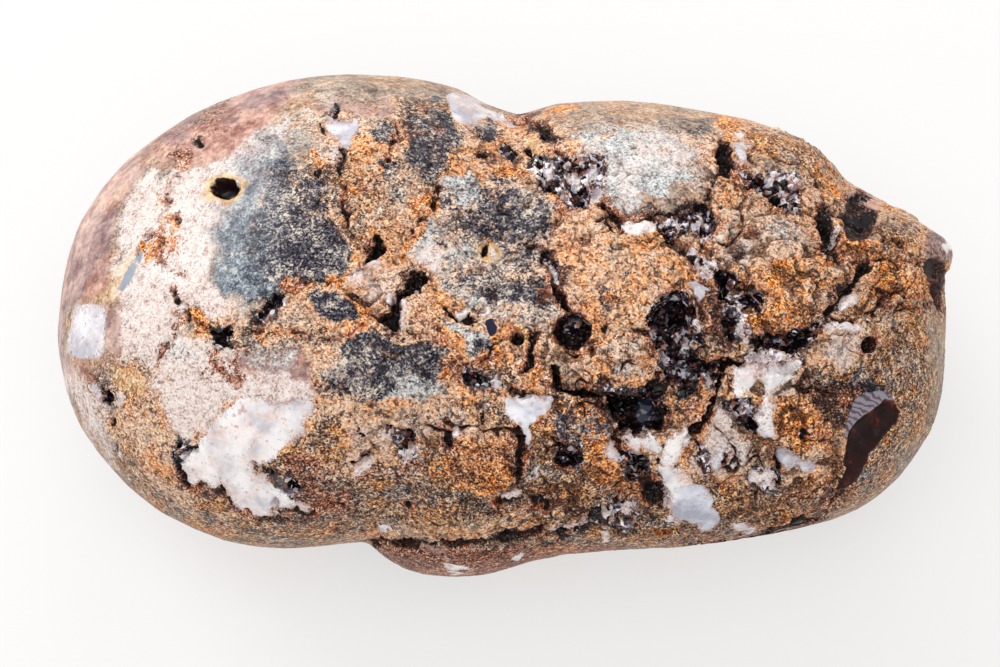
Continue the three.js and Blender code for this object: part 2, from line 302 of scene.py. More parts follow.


# ---------------------------------------------------------------- what is cut into the skin
# (shape, depth mm, wall width in view units, facets 0..1). Facets of -1 mean a smooth scoop with no dark lining and no
# painted shade.
HOLES = [
    (E(225.2, 188.2, 15.2, 9.8, 6), 0.9, 3.0, 0.0),
    (E(200, 144, 5.0, 3.8, -30), 0.35, 2.5, 0),
    (E(195, 203, 3.8, 3.0), 0.12, 2.5, 0),
    (E(178, 221, 2.8, 3.6), 0.2, 2.5, 0),
    (E(174, 183, 3, 2), 0.12, 2, 0),
    (P_((135, 246), (139, 249), (137, 255), (132, 256)), 0.25, 2, 0),
    (E(79, 265, 3, 5, 10), 0.15, 2.5, 0),
    (E(174, 293, 3.2, 3.4), 0.22, 2.5, 0),
    (E(178, 301, 4, 4.5), 0.28, 2.5, 0),
    (P_((171, 316), (178, 314), (178, 323), (173, 332), (167, 333)), 0.14, 3, 0.3),
    (P_((190, 317), (199, 318), (212, 322), (214, 329), (200, 332), (192, 326)), 0.16, 5, 0.4),
    (P_((213, 327), (219, 332), (226, 329), (233, 334), (229, 341), (231, 347), (222, 352), (217, 347), (209, 349), (213, 340), (208, 334)), 0.4, 5, 0.6),
    (P_((272, 297), (284, 291), (287, 301), (280, 309), (268, 312), (265, 322), (256, 326), (248, 326), (256, 316), (262, 306)), 0.34, 5, 0.6),
    (P_((92, 375), (97, 378), (103, 388), (109, 397), (113, 405), (108, 410), (101, 405), (100, 392), (94, 383)), 0.5, 3, 0.2),
    (E(113, 422, 4, 5, 20), 0.3, 3, 0),
    (E(116, 449, 2.5, 5, 0), 0.2, 2.5, 0),
    (P_((180, 455), (187, 447), (198, 444), (196, 452), (188, 459), (181, 463)), 0.34, 3, 0.3),
    (E(254, 465, 4.5, 4, 0), 0.28, 3, 0),
    (E(268, 473, 6, 4.5, 20), 0.22, 3, 0.3),
    (E(274.5, 505, 4.5, 7.5, 0), 0.5, 3, 0),
    (P_((330, 109), (338, 106), (344, 112), (343, 118), (335, 120), (329, 116)), 0.22, 3, 0.3),
    (P_((321, 122), (326, 121), (327, 133), (323, 136), (320, 130)), 0.3, 2.5, 0),
    (P_((341, 149), (348, 149), (344, 162), (338, 175), (332, 178), (337, 163)), 0.34, 4, 0.3),
    (P_((318, 164), (323, 166), (323, 180), (318, 182)), 0.3, 3, 0.2),
    (P_((341, 209), (347, 210), (349, 224), (344, 226)), 0.4, 3, 0.1),
    (P_((369, 235), (377, 235), (385, 243), (386, 252), (380, 258), (370, 259), (364, 263), (365, 256), (371, 250), (371, 242)), 0.85, 3, 0.0),
    (P_((410, 270), (418, 271), (425, 275), (433, 280), (425, 287), (417, 292), (410, 296), (403, 300), (400, 304), (401, 309),
        (397, 313), (401, 317), (403, 323), (398, 331), (392, 331), (384, 326), (379, 318), (384, 314), (391, 313), (391, 306),
        (392, 297), (400, 292), (406, 286), (411, 279)), 0.85, 3, 0.15),
    (P_((344, 286), (349, 286), (361, 299), (357, 302), (348, 295)), 0.2, 3, 0.1),
    (P_((441, 305), (446, 306), (455, 313), (466, 318), (476, 320), (472, 324), (462, 322), (450, 316), (442, 309)), 0.5, 2, 0.1),
    (E(517.5, 338.5, 8, 6.6, 0), 0.75, 3, 0.0),
    (E(485.5, 250, 3.6, 8, 18), 0.45, 2.5, 0.0),
    (E(531, 246.5, 5.5, 4, 10), 0.3, 3, 0.2),
    (P_((529, 331), (535, 329), (535, 346), (534, 362), (528, 372), (521, 374), (528, 360), (530, 346)), 0.5, 2.5, 0.2),
    (P_((460, 372), (470, 371), (485, 377), (497, 384), (490, 386), (478, 381), (464, 379)), 0.3, 3, 0.6),
    (P_((491, 341), (496, 342), (493, 354), (485, 363), (480, 362), (489, 352)), 0.25, 3, 0.2),
    (P_((356, 429), (359, 429), (365, 440), (363, 443)), 0.2, 2, 0),
    (P_((348, 461), (356, 462), (364, 451), (368, 453), (359, 467), (349, 467)), 0.6, 2.5, 0.1),
    (P_((400, 436), (410, 431), (415, 437), (412, 447), (407, 452), (402, 448)), 0.5, 4, 0.6),
    (E(408, 506, 4.5, 4, 0), 0.25, 2.5, 0.2),
    (P_((488, 500), (500, 498), (520, 499), (530, 501), (516, 504), (494, 504)), 0.25, 3, 0.2),
    (P_((500, 141), (508, 142), (516, 151), (513, 157), (503, 152), (499, 147)), 0.42, 3, 0.4),
    (P_((474, 153), (482, 150), (493, 154), (497, 151), (498, 155), (486, 160), (476, 159)), 0.3, 3, 0.3),
    (P_((519, 150), (527, 156), (536, 160), (538, 172), (534, 184), (545, 190), (556, 193), (552, 187), (543, 182), (541, 170), (546, 163),
        (541, 155), (530, 150), (524, 145)), 0.5, 3, 0.7),
    (P_((526, 116), (535, 120), (545, 128), (558, 137), (556, 142), (543, 139), (534, 128), (526, 121)), 0.5, 3, 0.3),
    (P_((558, 158), (572, 160), (590, 163), (600, 162), (604, 170), (598, 178), (588, 184), (589, 196), (586, 205), (576, 208), (569, 200),
        (571, 188), (566, 178), (560, 172)), 0.5, 4, 0.9),
    (P_((600, 199), (606, 202), (614, 212), (625, 222), (620, 225), (608, 217), (601, 208)), 0.5, 3, 0.3),
    (P_((622, 221), (636, 218), (652, 213), (668, 210), (682, 206), (694, 202), (690, 208), (672, 214), (655, 217), (638, 222)), 0.42, 3, 0.2),
    (P_((692, 204), (700, 199), (710, 203), (715, 213), (715, 226), (711, 236), (705, 237), (699, 230), (701, 220), (694, 214)), 0.6, 4, 0.7),
    (P_((655, 229), (665, 231), (676, 236), (678, 243), (668, 240), (657, 234)), 0.4, 3, 0.5),
    (P_((662, 240), (680, 243), (692, 249), (700, 258), (697, 268), (688, 262), (680, 250)), 0.3, 3, 0.4),
    (P_((718, 138), (733, 138), (734, 152), (733, 166), (728, 174), (719, 176), (716, 165), (718, 152)), 0.75, 3, 0.4),
    (P_((739, 172), (756, 174), (771, 176), (776, 186), (770, 190), (762, 184), (748, 180), (740, 177)), 0.5, 4, 0.8),
    (P_((758, 184), (768, 190), (776, 198), (790, 202), (803, 212), (800, 219), (786, 213), (770, 204), (760, 196)), 0.6, 4, 0.9),
    (P_((776, 184), (795, 186), (800, 196), (796, 206), (784, 201), (778, 192)), 0.25, 5, 1.0),
    (P_((820, 206), (828, 210), (836, 222), (840, 236), (838, 254), (834, 260), (828, 250), (822, 240), (818, 222)), 0.9, 3, 0.2),
    (P_((843, 202), (855, 193), (870, 199), (882, 211), (878, 227), (870, 239), (858, 246), (848, 243), (842, 230)), 0.5, 9, -1),
    (P_((848, 193), (860, 192), (870, 198), (866, 201), (856, 198), (849, 197)), 0.3, 2.5, 0.1),
    (P_((543, 252), (549, 255), (556, 266), (560, 277), (560, 292), (568, 303), (572, 312), (565, 312), (556, 298), (552, 284), (546, 270), (541, 260)), 0.5, 3, 0.6),
    (E(573, 331, 19, 17.5, 20), 1.25, 4, 0.25),
    (E(604, 330, 4, 5, 20), 0.3, 3, 0.2),
    (P_((551, 364), (557, 361), (562, 370), (560, 381), (566, 388), (580, 386), (596, 390), (603, 397), (590, 398), (570, 396), (554, 392), (549, 381)), 0.5, 4, 0.6),
    (P_((668, 292), (678, 290), (690, 300), (692, 315), (697, 324), (700, 336), (694, 347), (700, 360), (690, 366), (676, 360), (661, 352),
        (650, 341), (647, 326), (652, 312), (660, 300)), 1.15, 5, 1.0),
    (P_((663, 354), (680, 360), (700, 366), (702, 380), (690, 384), (672, 384), (660, 374)), 0.45, 5, 1.0),
    (P_((721, 274), (730, 276), (732, 290), (728, 302), (721, 298), (719, 284)), 0.7, 3, 0.7),
    (P_((748, 290), (757, 290), (763, 300), (760, 310), (750, 312), (742, 316), (741, 300)), 0.6, 3, 0.9),
    (P_((700, 256), (712, 262), (722, 270), (735, 278), (738, 283), (722, 282), (708, 276), (698, 268)), 0.4, 4, 1.0),
    (P_((748, 337), (770, 336), (795, 332), (812, 326), (820, 321), (822, 329), (812, 341), (796, 346), (770, 347), (752, 345)), 0.4, 5, 0.5),
    (P_((768, 343), (790, 341), (812, 338), (806, 347), (798, 356), (790, 357), (782, 350), (770, 350)), 0.6, 4, 0.8),
    (P_((862, 262), (873, 262), (870, 272), (862, 278), (856, 290), (845, 302), (838, 312), (828, 320), (822, 316), (832, 304), (844, 290), (854, 276)), 0.5, 4, 0.3),
    (P_((700, 360), (722, 358), (748, 360), (742, 366), (728, 368), (724, 380), (720, 394), (715, 396), (716, 382), (712, 370), (700, 367)), 0.6, 3, 0.4),
    (E(868.5, 345.5, 8.5, 9.2, 0), 0.8, 3, 0.0),
    (P_((716, 394), (719, 397), (712, 412), (706, 424), (698, 432), (690, 440), (686, 438), (693, 428), (702, 418), (709, 404)), 0.7, 2.5, 0.2),
    (P_((601, 392), (614, 396), (622, 402), (640, 396), (655, 398), (664, 404), (668, 418), (664, 432), (652, 434), (640, 436), (626, 434),
        (616, 428), (612, 414), (606, 402)), 1.0, 5, 0.9),
    (P_((724, 398), (738, 400), (748, 402), (756, 412), (757, 428), (750, 432), (740, 424), (730, 412), (725, 406)), 0.5, 4, 1.0),
    (P_((642, 492), (652, 486), (664, 482), (670, 490), (670, 502), (664, 508), (652, 505), (644, 502)), 0.9, 4, 0.3),
    (P_((558, 446), (572, 443), (580, 452), (578, 466), (566, 470), (556, 462)), 0.4, 5, 0.9),
    (P_((516, 440), (524, 440), (524, 462), (520, 480), (514, 478), (517, 460)), 0.4, 3, 0.3),
    (P_((590, 508), (600, 506), (606, 516), (600, 526), (592, 530), (588, 520)), 0.4, 4, 0.3),
    (P_((530, 500), (545, 500), (552, 505), (546, 510), (532, 507)), 0.35, 3, 0.2),
    (P_((802, 430), (808, 428), (812, 436), (806, 440), (800, 437)), 0.3, 3, 0.2),
    (P_((776, 448), (782, 456), (782, 474), (780, 488), (774, 488), (775, 468), (772, 456)), 0.35, 3, 0.5),
    (P_((884, 397), (895, 401), (899, 410), (897, 421), (890, 432), (881, 442), (872, 455), (865, 470), (858, 480), (848, 488),
        (838, 493), (835, 489), (841, 477), (843, 462), (845, 445), (850, 430), (858, 420), (868, 411), (878, 403)), 0.55, 11, -1),
    (P_((926, 258), (935, 256), (948, 262), (951, 272), (948, 290), (944, 312), (940, 318), (934, 300), (926, 290), (923, 272)), 0.6, 7, -1),
    (P_((724, 452), (728, 456), (728, 466), (723, 464)), 0.3, 2, 0.4),
    (E(700, 446, 3.5, 4, 0), 0.3, 3, 0.4),
    (E(661, 463, 4, 4, 0), 0.3, 3, 0.4),
    (E(483, 418, 3.5, 9, 10), 0.25, 4, 0.5),
    (E(448, 440, 6, 11, -10), 0.22, 5, 0.5),
    (E(112, 359, 3, 6, -30), 0.14, 3, 0),
    (E(293, 484, 8, 7, 30), 0.24, 4, 0.6),
    (E(221, 490, 4.5, 5, 30), 0.25, 3, 0.4),
    (P_((183, 478), (190, 482), (192, 488), (186, 488)), 0.3, 3, 0.2),
]

# (depth mm, width at the top in view units, points)
CRACKS = [
    (0.14, 4.5, ((182, 163), (180, 172), (176, 181), (171, 190), (167, 199))),
    (0.13, 4, ((167, 204), (163, 213), (160, 224), (158, 234), (157, 246), (160, 256))),
    (0.14, 4, ((153, 234), (144, 241), (140, 247))),
    (0.1, 3, ((170, 267), (176, 273), (184, 281))),
    (0.2, 5, ((175, 290), (180, 300), (185, 312), (190, 318))),
    (0.14, 4, ((178, 318), (174, 330), (168, 340), (163, 352), (156, 362))),
    (0.1, 3, ((228, 343), (234, 357), (238, 370), (238, 386))),
    (0.1, 3, ((214, 352), (221, 368), (231, 381))),
    (0.14, 5, ((240, 333), (262, 330), (282, 332), (300, 333), (318, 336), (345, 334), (362, 325))),
    (0.2, 6, ((344, 188), (343, 200), (346, 215), (352, 228), (360, 240), (368, 250))),
    (0.22, 6, ((400, 124), (395, 136), (390, 147), (385, 157))),
    (0.24, 7, ((441, 187), (436, 200), (429, 213), (421, 226), (413, 240), (407, 252))),
    (0.12, 5, ((407, 252), (404, 262), (411, 270))),
    (0.14, 5, ((285, 285), (300, 281), (320, 280), (340, 283), (350, 290))),
    (0.16, 5, ((362, 300), (374, 314), (384, 322))),
    (0.14, 5, ((400, 328), (420, 334), (440, 336), (452, 345), (454, 357), (449, 370))),
    (0.16, 4, ((476, 320), (484, 314), (489, 306))),
    (0.18, 5, ((498, 338), (510, 338), (524, 334), (540, 330))),
    (0.2, 6, ((560, 290), (563, 304), (566, 316))),
    (0.16, 5, ((589, 345), (600, 336), (618, 333), (640, 331))),
    (0.24, 7, ((640, 332), (650, 345), (652, 362), (656, 378), (645, 392))),
    (0.3, 7, ((516, 428), (521, 440), (520, 460), (519, 478), (514, 490))),
    (0.16, 5, ((228, 500), (238, 508), (248, 517), (260, 522), (272, 518), (282, 512), (298, 510), (312, 515))),
    (0.24, 6, ((312, 515), (322, 506), (330, 502), (345, 505))),
    (0.28, 6, ((178, 446), (177, 460), (180, 474), (188, 486), (200, 488))),
    (0.6, 8, ((370, 541), (384, 543), (400, 545), (430, 546), (460, 544), (480, 543), (497, 539), (512, 536), (540, 534), (560, 532), (578, 526), (590, 517), (600, 511))),
    (0.3, 7, ((600, 512), (615, 498), (632, 490), (645, 486))),
    (0.3, 7, ((600, 512), (612, 526), (622, 534), (634, 528))),
    (0.4, 7, ((690, 548), (712, 545), (735, 542), (758, 538), (775, 528), (795, 522), (815, 520))),
    (0.2, 6, ((815, 520), (826, 510), (836, 500), (838, 490))),
    (0.28, 6, ((556, 398), (540, 397), (520, 394), (508, 390))),
    (0.24, 6, ((610, 400), (616, 420), (617, 440), (628, 452), (640, 462))),
    (0.3, 6, ((648, 470), (655, 478), (644, 492))),
    (0.2, 5, ((716, 176), (712, 190), (706, 200))),
    (0.14, 5, ((734, 166), (742, 174), (752, 178))),
    (0.14, 5, ((745, 190), (742, 208), (744, 228), (748, 240))),
    (0.12, 5, ((756, 196), (752, 206), (760, 212), (776, 216))),
    (0.18, 5, ((700, 240), (708, 250), (712, 262))),
    (0.24, 6, ((738, 284), (750, 284), (762, 288), (768, 296))),
    (0.2, 6, ((700, 300), (703, 316), (700, 332), (705, 348), (712, 360))),
    (0.25, 7, ((820, 322), (810, 330), (796, 336))),
    (0.2, 6, ((838, 258), (850, 262), (866, 262), (880, 258), (900, 258), (915, 262), (923, 268))),
    (0.16, 6, ((880, 302), (895, 305), (912, 309), (930, 308), (938, 304))),
    (0.18, 5, ((826, 320), (840, 321), (858, 318))),
    (0.16, 5, ((800, 358), (812, 372), (804, 380), (794, 388))),
    (0.22, 7, ((802, 385), (820, 392), (840, 396), (852, 404))),
    (0.18, 5, ((760, 440), (772, 446), (782, 452), (800, 458), (818, 458))),
    (0.16, 5, ((697, 432), (702, 448), (700, 462), (708, 478), (712, 490))),
    (0.12, 5, ((480, 406), (486, 420), (482, 436), (474, 448))),
    (0.14, 5, ((842, 180), (846, 190), (845, 204))),
    (0.14, 4, ((520, 112), (526, 118), (534, 122))),
    (0.14, 4, ((486, 108), (500, 114), (512, 118), (522, 124))),
    (0.16, 6, ((556, 142), (562, 150), (560, 160))),
    (0.18, 6, ((560, 194), (566, 204), (560, 218), (550, 232), (543, 246))),
    (0.14, 5, ((690, 434), (686, 446), (690, 460))),
    (0.16, 4, ((572, 350), (578, 356), (590, 352), (598, 344))),
    (0.22, 4, ((756, 350), (763, 362), (768, 374), (764, 386))),
    (0.2, 4, ((724, 362), (735, 368), (730, 380))),
    (0.16, 4, ((282, 290), (310, 283), (339, 281), (351, 297), (380, 314))),
    (0.16, 4, ((624, 505), (612, 514), (600, 520))),
]

# Blocks and hollows of the rough parts, mm over the skin: (x, y, rx, ry, turn, height).
LUMPS = [
    (640, 170, 66, 40, 8, 0.16), (620, 292, 62, 60, -20, 0.14), (775, 236, 34, 30, 10, 0.14), (822, 266, 46, 18, -22, 0.16), (790, 300, 44, 14, -8, 0.12),
    (894, 284, 34, 22, 4, 0.20), (896, 232, 26, 20, 20, 0.12), (862, 346, 34, 32, 0, 0.12), (906, 380, 40, 60, 0, 0.08), (586, 430, 30, 38, 0, 0.20),
    (690, 400, 20, 24, 0, 0.14), (736, 440, 20, 34, 0, 0.18), (806, 426, 32, 36, 0, 0.16), (770, 500, 50, 22, -8, 0.12), (596, 486, 30, 18, 0, 0.14),
    (650, 520, 40, 14, -4, 0.12), (620, 365, 36, 22, 0, 0.10), (792, 160, 40, 18, 30, 0.12), (532, 300, 16, 40, 0, 0.06), (784, 372, 26, 22, 0, 0.12), (495, 255, 58, 60, 0, 0.06), (384, 285, 26, 20, 10, 0.05), (430, 145, 24, 34, 0, 0.05),
    (390, 375, 60, 34, 0, 0.05), (710, 325, 12, 26, 0, 0.16), (610, 370, 34, 22, 0, 0.06), (800, 160, 44, 24, 28, 0.06),
    (500, 460, 26, 34, 0, 0.08), (430, 480, 40, 24, 0, 0.05), (745, 505, 38, 18, -4, 0.06), (560, 505, 36, 14, 4, 0.06),
    (470, 400, 60, 20, 0, -0.05), (700, 470, 30, 20, 0, -0.06), (650, 470, 18, 20, 0, -0.12),
    (620, 400, 30, 24, 20, -0.10), (735, 285, 26, 24, 0, -0.12), (765, 335, 50, 12, -4, -0.12), (560, 170, 38, 26, 10, -0.10),
]


def warps(P, seed, coarse, middle, fine):
    """Wander of the view coordinates, in view units, that makes a drawn edge ragged."""
    return tuple(coarse * noise(P, 0.95, s) + middle * noise(P, 0.42, s + 1) + fine * noise(P, 0.17, s + 2) for s in (seed, seed + 5))


def carve(P, x, y, zz):
    """At each vertex: depth cut below the skin in mm, how crystalline the place is, rise of the worn blocks, and 1 on the side in view."""
    front = ramp(-0.30, -0.02, zz)
    jx, jy = warps(P, 11, 3.8, 3.4, 2.4)
    depth = np.zeros(len(P), F)
    facet = np.zeros(len(P), F)
    for shape, deep, wall, fac in HOLES:
        i = near(x, y, front, shape, 10)
        if not len(i):
            continue
        rag = 1.0 if shape[0] == "p" and fac >= 0 else 0.6 if shape[0] == "e" and shape[3] > 17 else 0.3
        sd = shape_sd(x[i] + rag * jx[i], y[i] + rag * jy[i], shape)
        m = ramp(-1.0, wall, sd) * front[i]
        depth[i] = np.maximum(depth[i], deep * m * (0.85 + 0.15 * ramp(0, 12, sd)))
        facet[i] = np.maximum(facet[i], max(fac, 0) * ramp(-1, 3, sd) * front[i])
    for density, _, shape in GEMS:
        i = near(x, y, front, shape, 10)
        if len(i):
            sd = shape_sd(x[i] + jx[i], y[i] + jy[i], shape)
            facet[i] = np.maximum(facet[i], 0.7 * density * ramp(-1, 3, sd) * front[i])
    swing = 1.9 * noise(P, 0.75, 21) + 0.9 * noise(P, 0.3, 22)
    for deep, width, pts in CRACKS:
        shape = L_(width, *pts)
        i = near(x, y, front, shape, 16)
        if not len(i):
            continue
        wander = 0.4 if deep >= 0.6 else 1.25
        d = line_distance(x[i] + wander * jx[i], y[i] + wander * jy[i], pts)
        v = np.clip(0.8 + swing[i], 0.12, 1.7)
        cut = deep * (1 - ramp(0.1, 1.2, d / (v * width / 2 + 0.4))) * np.clip(0.35 + 0.7 * v, 0.4, 1.25) * front[i]
        depth[i] = np.maximum(depth[i], cut)
    calm = np.ones(len(P), F)
    for kind, _, _, shape in SOLIDS:
        i = near(x, y, front, shape, 10)
        if len(i):
            sd = shape_sd(x[i] + 0.6 * jx[i], y[i] + 0.6 * jy[i], shape)
            k = ramp(-2, 3, sd) * front[i]
            calm[i] *= 1 - (0.96 if kind != "quartz" else 0.8) * k
            if kind == "glass":
                facet[i] *= 1 - k
    lump = np.zeros(len(P), F)
    for lx, ly, rx, ry, turn, h in LUMPS:
        shape = E(lx, ly, rx, ry, turn)
        i = near(x, y, front, shape, 12)
        sd = shape_sd(x[i] + 1.5 * jx[i], y[i] + 1.5 * jy[i], shape)
        lump[i] += h * ramp(-3, 5, sd) * front[i]
    return depth, facet, lump, calm, front
